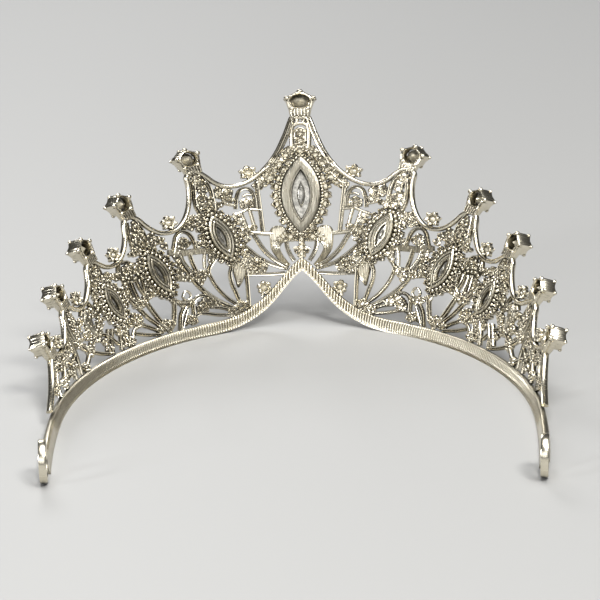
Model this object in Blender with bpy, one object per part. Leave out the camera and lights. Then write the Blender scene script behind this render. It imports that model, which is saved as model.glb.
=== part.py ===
"""Bridal tiara: an openwork front of seven marquise medallions under eleven stone-tipped spires,
rising from a ribbed base band that ends in two ribbon loops."""
import math

import bpy
import numpy as np
from mathutils import Vector
from mathutils.geometry import delaunay_2d_cdt

# ---- driving dimensions, millimetres and degrees ----
MM = 0.001
HALF_WIDTH = 60.0        # base curve, half width across the temples
FRONT_DEPTH = 78.0       # base curve, temples to the middle of the front
LEG = 34.0               # base curve, straight run behind the temples
TOE_IN = 2.0             # how far each leg closes inward at its end
FLARE = 19.0             # outward lean of the whole wall from upright
PLAN_Y = 29.6            # puts the frame origin under the middle of the finished size

BAND_T = 1.8             # base band, through thickness
PLATE_T = 1.3            # openwork plates, through thickness
RAIL_W = 1.15            # crest rail, width across the wall face
RAIL_T = 2.0             # crest rail, through thickness
GAP = 0.2                # solder line left between neighbouring pieces

HEAD_STAR = 3.35         # spire cup, radius over the claws
HEAD_WAIST = 2.65        # spire cup, radius between the claws
HEAD_BACK = 2.05         # spire cup, radius of the back ring
HEAD_STONE = 2.35        # spire stone, girdle radius

# Flat pattern of one half: s runs along the base curve from the middle of the front,
# h runs up the leaning wall.  The other half is its mirror image.
BAND_TOP = [(0, 19.6), (2, 17.9), (4, 15.6), (6, 13.2), (8, 10.9), (10, 9.0), (12.5, 7.2),
            (15, 5.8), (18, 4.6), (21, 3.8), (25, 3.35), (32, 3.2), (100, 3.2), (143, 2.8)]
BAND_LOW = [(0, 16.1), (2, 14.2), (4, 11.9), (6, 9.5), (8, 7.3), (10, 5.5), (12.5, 3.8),
            (15, 2.5), (18, 1.35), (21, 0.6), (25, 0.1), (28, 0.0), (143, 0.0)]
CREST = [(0.45, 60.2), (1.5, 59.9), (2.05, 58.3), (2.9, 55.2), (4.0, 52.0), (5.2, 49.3), (6.7, 46.8),
         (8.6, 44.5), (10.8, 42.6), (13.2, 41.4), (15.5, 41.0), (17.8, 41.4), (19.8, 42.7),
         (21.6, 44.7), (23.2, 46.1), (25.0, 46.3), (26.1, 45.0), (26.0, 42.6), (26.2, 40.0),
         (26.8, 37.2), (27.8, 34.7), (29.3, 32.5), (31.3, 31.0), (33.6, 30.6), (35.9, 31.0),
         (38.0, 32.3), (39.9, 34.2), (41.6, 36.3), (43.4, 37.2), (45.2, 36.9), (46.0, 35.4),
         (46.5, 32.6), (47.6, 30.0), (49.1, 27.8), (51.2, 26.3), (53.6, 25.8), (55.9, 26.3),
         (57.8, 27.5), (59.6, 28.7), (61.4, 28.9), (62.8, 27.8), (63.4, 25.8), (64.2, 23.8),
         (65.5, 21.8), (67.3, 20.0), (69.6, 19.0), (72.0, 19.0), (74.2, 20.0), (76.2, 21.0),
         (78.2, 21.1), (79.7, 19.9), (80.3, 18.2), (81.2, 16.4), (82.7, 14.4), (84.8, 12.8),
         (87.3, 12.1), (89.6, 12.3), (91.6, 13.0), (93.6, 13.1), (95.4, 12.1), (97.2, 10.4),
         (99.6, 8.6), (102.4, 7.0), (105.6, 5.8), (109.0, 4.9), (111.5, 4.4)]
# spire cups: s, h, lean, length of the heel below the stone's centre
HEADS = [(0, 64.5, 0, 3.4), (25.0, 50.1, 12, 2.7), (44.9, 41.3, 14, 2.9), (61.4, 33.0, 14, 3.0),
         (78.2, 25.2, 14, 2.9), (94.2, 17.2, 14, 3.0)]

# medallions: centre s, centre h, lean, bezel half length, bezel half width, window half length,
# window half width, wreath half length, wreath half width
MEDALLIONS = [
    (0.0, 37.5, 0, 11.1, 4.5, 7.3, 1.8, 12.1, 6.1),
    (19.9, 27.0, 17, 6.9, 2.8, 3.9, 1.2, 7.9, 4.5),
    (39.4, 20.2, 20, 6.6, 2.8, 3.8, 1.2, 8.1, 4.8),
    (57.3, 16.2, 20, 5.6, 2.5, 3.2, 1.1, 7.0, 4.7),
]
BEAD = 1.2               # radius of the bead lobes round each wreath

# Ribs of each openwork piece as (width, path) and bosses as (s, h, radius).
SPIRE_RIBS = [
    [(0.8, [(-1.5, 49.0), (-1.75, 54.5), (-1.2, 57.3), (0, 58.2), (1.2, 57.3), (1.75, 54.5), (1.5, 49.0)]),
     (1.2, [(0, 58.2), (0, 60)]), (1.1, [(0, 26.0), (0, 19.2)]), (1.0, [(0, 49.0), (0, 56)]),
     (0.9, [(-2.4, 50.8), (-3.6, 51.6)]), (0.9, [(2.4, 50.8), (3.6, 51.6)])],
    [(0.9, [(21.0, 33.4), (20.8, 37.0), (21.0, 41.6), (22.6, 44.6)]),
     (0.9, [(23.8, 32.6), (25.0, 36.4), (24.8, 40.8), (24.4, 45.2)]),
     (1.0, [(16.4, 21.0), (14.7, 18.6), (14.5, 14.6), (14.7, 5.4)]),
     (0.9, [(18.8, 19.6), (19.0, 15.6), (18.2, 11.6), (17.2, 6.8)]),
     (1.0, [(14.6, 12.8), (17.0, 15.0), (17.4, 19.4)]),
     (1.1, [(14.7, 6.6), (17.3, 6.8), (18.6, 4.2)])],
    [(0.9, [(40.8, 26.6), (40.6, 30.4), (41.4, 33.6), (43.0, 36.4)]),
     (0.9, [(43.6, 25.8), (44.9, 29.4), (45.0, 33.0), (44.8, 36.2)]),
     (1.2, [(36.6, 14.0), (37.2, 8.8), (38.0, 3.2)]),
     (1.2, [(38.0, 5.0), (41.0, 5.4), (42.6, 3.2)])],
    [(0.9, [(58.6, 21.6), (58.4, 25.0), (59.4, 28.2)]),
     (0.9, [(60.6, 21.0), (61.9, 24.0), (61.7, 27.6)]),
     (1.0, [(54.8, 10.6), (55.4, 6.4), (55.4, 3.2)]),
     (1.0, [(56.6, 10.2), (58.4, 6.6), (59.2, 3.4)]), (1.0, [(55.4, 5.2), (58.6, 5.4)])],
]
SPIRE_BOSSES = [
    [(0, 55.9, 0.95), (0, 53.4, 1.2), (-2.4, 50.9, 1.0), (2.4, 50.9, 1.0), (0, 51.0, 1.0),
     (-5.2, 48.0, 1.2), (5.2, 48.0, 1.2), (0, 22.0, 1.35)],
    [(22.9, 42.6, 1.3), (23.4, 38.8, 1.3), (22.2, 36.0, 1.2), (18.9, 38.2, 1.2), (20.6, 35.8, 1.2),
     (16.9, 15.2, 1.6), (17.3, 6.8, 1.5)],
    [(42.9, 33.8, 1.4), (43.2, 31.4, 1.5), (43.2, 29.2, 1.6), (41.6, 29.4, 1.2), (38.6, 30.2, 1.3),
     (40.6, 28.6, 1.2), (44.6, 27.6, 1.1), (41.0, 5.4, 1.6), (39.6, 5.2, 1.2)],
    [(60.5, 26.0, 1.5), (61.0, 24.2, 1.7), (56.6, 23.8, 1.2), (62.4, 21.6, 1.1), (56.6, 5.2, 1.4)],
]
BAY_RIBS = [
    [(0.9, [(9.7, 26.8), (9.9, 33), (10.1, 37.6), (10.9, 39.6), (12.5, 40.4), (14.2, 39.6), (15.0, 37.4),
            (15.3, 32.8)]),
     (0.9, [(9.9, 34.2), (12.4, 34.4), (15.6, 32.8)]), (0.8, [(12.2, 34.4), (11.4, 27.6)]),
     (0.8, [(14.2, 33.6), (13.2, 27.6)]), (1.2, [(6.6, 26.7), (12.2, 27.4), (15.4, 27.8)]),
     (0.85, [(1.9, 18.4), (3.2, 20.8), (3.8, 23.0), (3.5, 25.4), (5.6, 26.4)]),
     (0.85, [(4.2, 17.4), (7.2, 19.4), (9.6, 22.4), (11.8, 27.0)]),
     (0.85, [(4.4, 17.2), (8.6, 18.9), (11.4, 21.0), (14.6, 25.0)]),
     (0.9, [(4.4, 16.8), (6.4, 15.5), (9.6, 15.2), (12.0, 15.4), (14.4, 15.4)]),
     (1.0, [(11.6, 17.6), (13.2, 20.0), (15.6, 21.4)]),
     (1.0, [(7.4, 44.4), (9.0, 41.8), (10.0, 38.6)]), (1.0, [(15.2, 37.4), (17.4, 38.8), (18.4, 40.8)]),
     (0.9, [(12.5, 40.2), (12.6, 42.2)])],
    [(0.9, [(27.4, 20.6), (27.8, 26.4), (28.6, 29.0), (30.2, 30.1), (32.0, 29.4), (33.0, 27.4),
            (34.2, 24.4)]),
     (1.3, [(24.6, 24.0), (29.0, 24.2), (34.4, 24.6)]), (0.85, [(29.3, 24.0), (28.7, 20.6), (27.9, 17.4)]),
     (0.9, [(19.6, 8.4), (22.0, 10.4), (23.9, 13.2), (24.9, 16.4), (24.9, 19.8), (24.4, 23.8)]),
     (0.95, [(19.0, 6.6), (23.6, 9.8), (26.8, 13.0), (29.3, 16.6), (31.2, 20.3), (32.6, 24.4)]),
     (0.9, [(19.6, 6.4), (24.2, 8.7), (26.4, 10.8), (28.6, 11.5), (30.8, 10.9), (32.4, 8.6),
            (32.8, 5.2)]),
     (0.9, [(19.8, 4.9), (24.5, 6.5), (28.6, 8.6)]), (0.9, [(30.4, 11.2), (33.6, 11.0), (36.0, 11.2)]),
     (0.9, [(34.0, 11.0), (35.6, 8.2), (36.2, 3.0)]), (0.9, [(28.4, 8.6), (30.2, 5.6), (32.8, 5.2)]),
     (1.0, [(27.9, 29.0), (26.6, 31.0), (25.4, 32.4), (26.4, 34.0)]), (0.9, [(30.3, 30.0), (30.8, 31.8)])],
    [(0.9, [(46.4, 21.8), (47.0, 24.0), (48.4, 25.4), (50.3, 25.2), (51.6, 23.4), (52.2, 21.6)]),
     (1.4, [(44.0, 21.8), (48.5, 21.9), (53.4, 21.6)]), (0.9, [(46.8, 21.6), (46.3, 18.4), (46.4, 14.6)]),
     (0.9, [(49.8, 21.6), (48.9, 18.0), (48.2, 13.8)]),
     (0.95, [(41.4, 5.2), (43.6, 8.6), (45.2, 11.4), (46.4, 14.8), (43.8, 16.2)]),
     (0.95, [(41.8, 4.8), (46.0, 9.0), (48.4, 12.4), (51.4, 15.8)]),
     (0.95, [(42.6, 4.0), (47.0, 6.8), (50.4, 8.4), (52.6, 10.6)]),
     (0.9, [(50.4, 8.2), (53.0, 5.6), (54.2, 3.2)]), (0.9, [(49.6, 25.2), (50.2, 27.2)]),
     (0.9, [(48.2, 13.6), (50.0, 11.0), (50.4, 8.2)])],
    [(1.2, [(62.6, 15.6), (66.0, 15.4), (69.0, 16.2)]), (2.6, [(69.0, 16.4), (69.2, 13.0), (68.4, 10.4)]),
     (0.9, [(66.0, 15.4), (66.6, 18.4), (67.4, 20.4)]), (0.9, [(69.8, 16.0), (71.4, 17.4), (71.6, 19.4)]),
     (0.9, [(61.4, 10.0), (63.4, 6.8), (64.6, 3.0)]), (0.9, [(60.2, 5.6), (62.6, 8.0), (65.0, 9.6),
                                                         (68.4, 10.0)]),
     (0.9, [(64.4, 5.0), (68.4, 5.4), (73.0, 7.4)]), (1.0, [(68.4, 10.0), (71.0, 8.6), (73.0, 7.4)]),
     (0.9, [(73.0, 7.4), (76.0, 9.4), (77.2, 11.6)]), (0.9, [(73.4, 7.0), (75.6, 5.4), (77.4, 3.0)]),
     (0.9, [(70.6, 12.6), (74.2, 11.4), (77.2, 11.4)]),
     (0.9, [(76.9, 20.6), (75.4, 16.4), (75.8, 11.6)]), (0.9, [(78.8, 20.2), (79.0, 15.6), (77.4, 11.4)])],
    [(0.9, [(81.4, 16.4), (80.6, 13.0), (80.4, 9.0), (81.2, 3.0)]), (0.9, [(80.4, 9.0), (83.6, 7.2),
                                                                  (84.8, 3.0)]),
     (1.0, [(80.5, 11.0), (84.6, 10.2), (88.6, 9.0)]), (0.9, [(83.8, 7.2), (86.6, 9.6), (86.6, 12.4)]),
     (0.9, [(88.6, 9.0), (91.0, 10.6), (91.6, 13.0)]), (0.9, [(88.6, 9.0), (94.0, 9.4), (95.2, 12.4)]),
     (0.9, [(83.8, 7.0), (88.4, 5.6), (91.6, 5.0)]), (0.9, [(88.6, 9.0), (91.6, 5.0), (92.4, 3.0)]),
     (0.9, [(94.0, 9.4), (96.4, 7.2), (98.4, 3.0)]), (0.9, [(96.4, 7.2), (99.6, 5.6), (102.6, 6.6)])],
]
BAY_BOSSES = [
    [(12.5, 36.2, 1.5), (6.5, 26.6, 1.9), (12.4, 28.6, 1.3), (11.6, 17.8, 1.9), (13.7, 19.2, 1.6),
     (13.6, 17.0, 1.4), (8.6, 42.4, 1.3), (17.2, 39.0, 1.5), (17.0, 37.0, 1.3), (4.3, 17.2, 1.0)],
    [(30.2, 27.0, 1.5), (27.4, 17.0, 1.8), (29.6, 17.2, 1.3), (31.6, 17.2, 1.1), (25.4, 8.8, 1.3),
     (27.0, 9.4, 1.5), (28.3, 8.7, 1.6), (32.8, 5.4, 1.8), (32.3, 11.8, 1.1),
     (26.4, 33.2, 1.3), (26.2, 30.8, 1.0)],
    [(48.2, 13.4, 1.7), (50.4, 8.6, 1.8), (52.4, 9.6, 1.5), (46.6, 23.0, 1.4), (48.8, 23.4, 1.4),
     (50.6, 22.8, 1.4)],
    [(67.6, 16.4, 1.5), (68.2, 9.8, 1.5), (73.0, 7.2, 1.5), (77.0, 16.2, 1.5), (77.2, 11.2, 1.6),
     (64.0, 5.0, 1.4), (77.0, 18.4, 1.4), (71.2, 11.8, 1.4), (77.2, 4.6, 1.3)],
    [(84.8, 10.3, 1.5), (83.7, 7.1, 1.4), (91.6, 5.2, 1.5), (93.4, 11.0, 1.2), (88.4, 9.0, 1.3)],
]
BAND_STAR = (10.4, 11.3, 1.8)

LOOP_MID = 5.3           # ribbon loop, height of its centre
LOOP_UP = 5.2            # ribbon loop, outer half height
LOOP_LONG = 4.9          # ribbon loop, outer half length
LOOP_WIRE = 1.5          # ribbon loop, width of the ring round the hole
LOOP_T = 1.8             # ribbon loop, through thickness

MATERIALS = {
    "silver_plate": ((0.80, 0.79, 0.74), 1.0, 0.22),
    "brushed_plate": ((0.72, 0.71, 0.66), 1.0, 0.38),
    "crystal": ((0.90, 0.90, 0.86), 0.0, 0.04),
}


# ---- the leaning wall: flat pattern to space ----
def base_curve():
    """Arc length, plan point and outward normal along half of the base curve."""
    turn = np.linspace(0.0, math.pi / 2, 721)
    back = np.linspace(0.0, LEG, 120)[1:]
    x = np.concatenate([HALF_WIDTH * np.sin(turn), HALF_WIDTH - TOE_IN * (back / LEG) ** 2])
    y = np.concatenate([-FRONT_DEPTH * np.cos(turn), back])
    nx = np.concatenate([np.sin(turn) / HALF_WIDTH, np.ones_like(back)])
    ny = np.concatenate([-np.cos(turn) / FRONT_DEPTH, 2 * TOE_IN * back / LEG ** 2])
    size = np.hypot(nx, ny)
    step = np.hypot(np.diff(x), np.diff(y))
    run = np.concatenate([[0.0], np.cumsum(step)])
    return run, x, y, nx / size, ny / size


RUN, CURVE_X, CURVE_Y, CURVE_NX, CURVE_NY = base_curve()
LEAN_OUT = math.sin(math.radians(FLARE))
LEAN_UP = math.cos(math.radians(FLARE))


def wall(s, h, o):
    """Point at run s, height h up the wall and offset o outward from its middle, in metres."""
    side = 1.0 if s >= 0 else -1.0
    k = abs(s)
    nx = float(np.interp(k, RUN, CURVE_NX))
    ny = float(np.interp(k, RUN, CURVE_NY))
    out = h * LEAN_OUT + o * LEAN_UP
    x = float(np.interp(k, RUN, CURVE_X)) + nx * out
    y = float(np.interp(k, RUN, CURVE_Y)) + ny * out
    z = h * LEAN_UP - o * LEAN_OUT
    return (side * x * MM, (y + PLAN_Y) * MM, z * MM)


def at(table, s):
    """Value of a piecewise profile at run s, smoothed between its stations."""
    xs = [p[0] for p in table]
    ys = [p[1] for p in table]
    return float(np.interp(abs(s), xs, ys))


def curve_through(points, step):
    """Smooth polyline through the points with roughly the given spacing."""
    pts = [np.array(p, float) for p in points]
    if len(pts) == 2:
        return [tuple(p) for p in pts]
    ends = [2 * pts[0] - pts[1]] + pts + [2 * pts[-1] - pts[-2]]
    line = []
    for i in range(1, len(ends) - 2):
        a, b, c, d = ends[i - 1:i + 3]
        count = max(1, int(round(np.linalg.norm(c - b) / step)))
        for j in range(count):
            t = j / count
            line.append(tuple(0.5 * (2 * b + (c - a) * t + (2 * a - 5 * b + 4 * c - d) * t * t
                                     + (3 * b - a - 3 * c + d) * t ** 3)))
    line.append(tuple(pts[-1]))
    return line


def normals_of(line):
    """Unit normals in the flat pattern at every point of an open line."""
    pts = np.array(line, float)
    tangent = np.gradient(pts, axis=0)
    tangent /= np.linalg.norm(tangent, axis=1, keepdims=True)
    return np.stack([-tangent[:, 1], tangent[:, 0]], axis=1)


# ---- flat outlines ----
def strip(path, width, step=1.6, grow=0.0):
    """Quads that cover a rib of the given width."""
    line = curve_through(path, step)
    pts = np.array(line, float)
    side = normals_of(line) * (width / 2 + grow)
    quads = []
    for i in range(len(pts) - 1):
        quad = [pts[i] + side[i], pts[i] - side[i], pts[i + 1] - side[i + 1], pts[i + 1] + side[i + 1]]
        quads.append([tuple(p) for p in quad])
    return quads


def disc(s, h, radius, count=8, turn=0.2):
    """Polygon of a round boss."""
    ring = [turn + 2 * math.pi * i / count for i in range(count)]
    return [(s + radius * math.cos(a), h + radius * math.sin(a)) for a in ring]


def marquise(length, width, half=8):
    """Pointed oval of two arcs, as (across, along) pairs, anticlockwise from its lower tip."""
    radius = (length ** 2 + width ** 2) / (2 * width)
    sweep = math.asin(length / radius)
    right = []
    for i in range(half):
        a = -sweep + 2 * sweep * i / half
        right.append((radius * math.cos(a) - radius + width, radius * math.sin(a)))
    return right + [(-u, -v) for u, v in right]


def turned(points, s, h, lean):
    """Points given across and along a leaning axis, placed in the flat pattern."""
    c = math.cos(math.radians(lean))
    d = math.sin(math.radians(lean))
    return [(s + u * c + v * d, h - u * d + v * c) for u, v in points]


def wreath_outlines(index, grow=0.0):
    """Marquise body and bead lobes of one medallion."""
    s, h, lean, _, _, _, _, length, width = MEDALLIONS[index]
    body = turned(marquise(length + grow, width + grow), s, h, lean)
    outlines = [body]
    radius = (length ** 2 + width ** 2) / (2 * width)
    sweep = math.asin(length / radius)
    count = int(round(2 * sweep * radius / (2.05 * BEAD)))
    for i in range(count):
        a = -sweep + 2 * sweep * (i + 0.5) / count
        u = radius * math.cos(a) - radius + width - 0.15
        v = radius * math.sin(a)
        for mirror in (1, -1):
            centre = turned([(mirror * u, v)], s, h, lean)[0]
            outlines.append(disc(centre[0], centre[1], BEAD + grow, 6))
    return outlines


def ribs_and_bosses(ribs, bosses, grow=0.0):
    """All outlines of a set of ribs and bosses."""
    outlines = []
    for width, path in ribs:
        outlines += strip(path, width, 1.6, grow)
    outlines += [disc(s, h, r + grow) for s, h, r in bosses]
    return outlines


def spire_outlines(index, grow=0.0):
    """Everything that belongs to one medallion plate."""
    return wreath_outlines(index, grow) + ribs_and_bosses(SPIRE_RIBS[index], SPIRE_BOSSES[index], grow)


def band_keepout():
    """The base band and its solder line, as quads of the flat pattern."""
    stations = [0, 2, 4, 6, 8, 10.5, 13, 16, 20, 25, 32, 45, 60, 80, 100, 112]
    quads = []
    for sign in (1, -1):
        for a, b in zip(stations[:-1], stations[1:]):
            low_a = at(BAND_LOW, a) - 3
            low_b = at(BAND_LOW, b) - 3
            quads.append([(sign * a, low_a), (sign * b, low_b), (sign * b, at(BAND_TOP, b) + GAP),
                          (sign * a, at(BAND_TOP, a) + GAP)])
    return quads


def crest_keepout(sign):
    """The crest rail and its solder line."""
    path = [(sign * s, h) for s, h in CREST]
    return strip(path, RAIL_W, 1.5, GAP)


# ---- merging flat outlines ----
def anticlockwise(poly):
    """The polygon, ordered anticlockwise."""
    area = sum(a[0] * b[1] - b[0] * a[1] for a, b in zip(poly, poly[1:] + poly[:1]))
    return poly if area > 0 else poly[::-1]


def largest_piece(faces):
    """The biggest set of triangles joined along edges."""
    owner = {}
    for i, face in enumerate(faces):
        for a, b in zip(face, face[1:] + face[:1]):
            owner.setdefault((min(a, b), max(a, b)), []).append(i)
    links = {i: set() for i in range(len(faces))}
    for users in owner.values():
        for i in users:
            links[i].update(users)
    left = set(links)
    best = set()
    while left:
        stack = [next(iter(left))]
        group = set()
        while stack:
            i = stack.pop()
            if i in group:
                continue
            group.add(i)
            stack.extend(links[i] - group)
        left -= group
        best = max(best, group, key=len)
    return [faces[i] for i in sorted(best)]


def rim_links(faces):
    """Directed rim edges, as start to list of ends."""
    directed = {(a, b) for face in faces for a, b in zip(face, face[1:] + face[:1])}
    rim = {}
    for a, b in directed:
        if (b, a) not in directed:
            rim.setdefault(a, []).append(b)
    return rim


def merged(adds, cuts):
    """Rim loops of the added outlines less the cut outlines, kept to one joined piece."""
    adds = list(adds)
    for _ in range(6):
        points = []
        faces = []
        for poly in adds + cuts:
            poly = anticlockwise(list(poly))
            faces.append(list(range(len(points), len(points) + len(poly))))
            points += [Vector(p) for p in poly]
        verts, _, tris, _, _, source = delaunay_2d_cdt(points, [], faces, 1, 0.002)
        kept = []
        for tri, owners in zip(tris, source):
            if owners and max(owners) < len(adds):
                kept.append(list(tri))
        kept = largest_piece(kept)
        rim = rim_links(kept)
        pinched = [v for v, ends in rim.items() if len(ends) > 1]
        if not pinched:
            break
        adds += [disc(verts[v].x, verts[v].y, 0.25, 6) for v in pinched]
    loops = []
    while rim:
        start = next(iter(rim))
        loop = [start]
        nxt = rim.pop(start)[0]
        while nxt != start:
            loop.append(nxt)
            nxt = rim.pop(nxt)[0]
        loops.append([(verts[v].x, verts[v].y) for v in loop])
    return loops


def thinned(loop, tolerance):
    """The loop without points that hardly change its shape."""
    pts = list(loop)
    changed = True
    while changed and len(pts) > 4:
        changed = False
        worst = None
        for i in range(len(pts)):
            a = np.array(pts[i - 1])
            b = np.array(pts[i])
            c = np.array(pts[(i + 1) % len(pts)])
            chord = c - a
            length = np.linalg.norm(chord)
            if length > 5.5:
                continue
            off = abs(chord[0] * (b - a)[1] - chord[1] * (b - a)[0]) / max(length, 1e-9)
            if off < tolerance and (worst is None or off < worst[0]):
                worst = (off, i)
        if worst:
            pts.pop(worst[1])
            changed = True
    return pts


def inside(loops, x, y):
    """Even-odd test of a point against all the loops."""
    hits = 0
    for loop in loops:
        for a, b in zip(loop, loop[1:] + loop[:1]):
            if (a[1] > y) != (b[1] > y) and x < a[0] + (y - a[1]) * (b[0] - a[0]) / (b[1] - a[1]):
                hits += 1
    return hits % 2 == 1


def filled(loops):
    """Triangles inside the loops, with no points beyond the ones given."""
    points = [Vector(p) for loop in loops for p in loop]
    edges = []
    base = 0
    for loop in loops:
        edges += [(base + i, base + (i + 1) % len(loop)) for i in range(len(loop))]
        base += len(loop)
    verts, _, tris, _, _, _ = delaunay_2d_cdt(points, edges, [], 0, 0.0005)
    if len(verts) != len(points):
        return None
    kept = []
    for tri in tris:
        x = sum(verts[v].x for v in tri) / 3
        y = sum(verts[v].y for v in tri) / 3
        if inside(loops, x, y):
            kept.append(list(tri))
    return [(v.x, v.y) for v in verts], kept


# ---- solids ----
def add_solid(name, verts, faces, slot):
    """One closed, outward-facing body."""
    mesh = bpy.data.meshes.new(name)
    mesh.from_pydata([tuple(v) for v in verts], [], [tuple(f) for f in faces])
    mesh.validate()
    volume = 0.0
    for poly in mesh.polygons:
        corners = [mesh.vertices[i].co for i in poly.vertices]
        for i in range(1, len(corners) - 1):
            volume += corners[0].dot(corners[i].cross(corners[i + 1]))
    if volume < 0:
        mesh.flip_normals()
    mesh.materials.append(MATERIAL[slot])
    obj = bpy.data.objects.new(name, mesh)
    bpy.context.collection.objects.link(obj)
    return obj


def plate(name, adds, cuts, thickness, slot, tolerance=0.12):
    """Openwork plate of even thickness, bent to the wall."""
    raw = merged(adds, cuts)
    result = None
    while result is None:
        loops = [thinned(loop, tolerance) for loop in raw]
        loops = [loop for loop in loops if len(loop) > 2]
        result = filled(loops)
        tolerance *= 0.6
    points, tris = result
    half = thickness / 2
    verts = [wall(s, h, half) for s, h in points] + [wall(s, h, -half) for s, h in points]
    n = len(points)
    faces = [list(t) for t in tris] + [[v + n for v in reversed(t)] for t in tris]
    for a, ends in rim_links(tris).items():
        for b in ends:
            faces.append([b, a, a + n, b + n])
    return add_solid(name, verts, faces, slot)


def lofted(name, rings, slot, closed=False):
    """Skin over rings of equal count, capped at both ends or joined end to end."""
    n = len(rings[0])
    verts = [p for ring in rings for p in ring]
    faces = []
    spans = len(rings) if closed else len(rings) - 1
    for i in range(spans):
        a = i * n
        b = ((i + 1) % len(rings)) * n
        for j in range(n):
            k = (j + 1) % n
            faces.append([a + j, a + k, b + k, b + j])
    if not closed:
        faces.append(list(range(n))[::-1])
        faces.append([len(verts) - n + j for j in range(n)])
    return add_solid(name, verts, faces, slot)


def base_band():
    """Ribbon that peaks in a V at the front and stands flat on its lower edge elsewhere."""
    right = [0, 1, 2, 3, 4, 5, 6, 7, 8, 9.2, 10.5, 11.8, 13, 14.5, 16, 18, 20, 22.5, 25, 28]
    end = RUN[-1]
    count = 26
    right += [28 + (end - 28) * (i + 1) / count for i in range(count)]
    stations = [-s for s in right[:0:-1]] + right
    rings = []
    for s in stations:
        low = at(BAND_LOW, s)
        top = at(BAND_TOP, s)
        half = BAND_T / 2
        tilt = math.tan(math.radians(FLARE))
        ring = [wall(s, low - half * tilt, -half), wall(s, low + half * tilt, half),
                wall(s, top - 0.5, half), wall(s, top, half - 0.45), wall(s, top, -half + 0.45),
                wall(s, top - 0.5, -half)]
        rings.append(ring)
    return lofted("base_band", rings, "silver_plate")


def crest_rail(name, sign):
    """Rounded rail that runs over all the spires of one side and down to the band."""
    line = curve_through(CREST, 3.0)
    sides = normals_of(line)
    shape = [(0.0, 0.5), (0.5, 0.28), (0.5, -0.28), (0.0, -0.5), (-0.5, -0.28), (-0.5, 0.28)]
    rings = []
    for (s, h), (u, v) in zip(line, sides):
        width = RAIL_W * (1.0 if s < 100 else 0.75)
        ring = []
        for across, through in shape:
            ring.append(wall(sign * (s + u * width * across), h + v * width * across, RAIL_T * through))
        rings.append(ring)
    return lofted(name, rings, "silver_plate")


def placed(index_s, index_h, lean, sign, u, v, o):
    """Point across u, along v, outward o of a leaning local axis."""
    s, h = turned([(u, v)], index_s, index_h, lean)[0]
    return wall(sign * s, h, o)


def head_cup(name, index, sign):
    """Five-claw cup, open at the back, with a tapering heel towards the rail."""
    s, h, lean, rise = HEADS[index]
    count = 15
    levels = [(-1.0, HEAD_BACK, 0.0, 1.0, 0.0), (0.8, HEAD_WAIST - 0.2, 0.25, 0.75, 0.0),
              (2.8, HEAD_WAIST, 0.7, 0.0, 0.0), (2.8, HEAD_WAIST - 0.1, 0.45, 0.0, 0.8),
              (2.65, HEAD_STONE + 0.16, 0.0, 0.0, 0.7), (1.5, 1.95, 0.0, 0.0, 0.0),
              (-1.0, 1.3, 0.0, 0.0, 0.0)]
    rings = []
    for o, radius, star, heel, claw in levels:
        ring = []
        for i in range(count):
            a = math.pi / 2 + 2 * math.pi * i / count
            point = (1.0, 0.1, 0.1)[i % 3]
            r = radius + star * point
            u = r * math.cos(a)
            v = r * math.sin(a)
            if heel and math.sin(a) < -0.75:
                v = -(rise * heel + (1 - heel) * r)
            ring.append(placed(s, h, lean, sign, u, v, o + claw * (point == 1.0)))
        rings.append(ring)
    return lofted(name, rings, "silver_plate", closed=True)


def head_stone(name, index, sign):
    """Round brilliant: ten-sided table, girdle and a culet point at the back."""
    s, h, lean, _ = HEADS[index]
    count = 10
    levels = [(3.55, 0.58), (2.9, 1.0), (2.75, 1.0)]
    verts = []
    for o, share in levels:
        for i in range(count):
            a = math.pi / 2 + 2 * math.pi * i / count
            r = HEAD_STONE * share
            verts.append(placed(s, h, lean, sign, r * math.cos(a), r * math.sin(a), o))
    verts.append(placed(s, h, lean, sign, 0.0, 0.0, 1.15))
    faces = [list(range(count))]
    for level in (0, count):
        for i in range(count):
            k = (i + 1) % count
            faces.append([level + i, level + count + i, level + count + k, level + k])
    for i in range(count):
        faces.append([2 * count + i, 3 * count, 2 * count + (i + 1) % count])
    return add_solid(name, verts, faces, "crystal")


def bezel(name, index, sign):
    """Thick pointed-oval collar with a broad back and a raised front lip round its stone."""
    s, h, lean, length, width, open_l, open_w, _, _ = MEDALLIONS[index]
    levels = [(-1.25, length - 0.5, width - 0.3), (-0.9, length, width), (1.6, length, width),
              (1.9, length - 1.1, width - 0.6), (0.6, length - 1.5, width - 0.8),
              (-0.5, open_l, open_w), (-1.05, open_l, open_w)]
    rings = []
    for o, long_half, wide_half in levels:
        rings.append([placed(s, h, lean, sign, u, v, o) for u, v in marquise(long_half, wide_half)])
    return lofted(name, rings, "brushed_plate", closed=True)


def navette(name, index, sign):
    """Pointed-oval stone: flat table, girdle and a keeled back."""
    s, h, lean, length, width, open_l, open_w, _, _ = MEDALLIONS[index]
    levels = [(2.6, length - 3.6, width - 1.9), (1.5, length - 1.75, width - 0.95),
              (1.3, length - 1.75, width - 0.95), (0.1, open_l - 0.3, open_w - 0.25)]
    rings = []
    for o, long_half, wide_half in levels:
        rings.append([placed(s, h, lean, sign, u, v, o) for u, v in marquise(long_half, wide_half)])
    return lofted(name, rings, "crystal")


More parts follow.
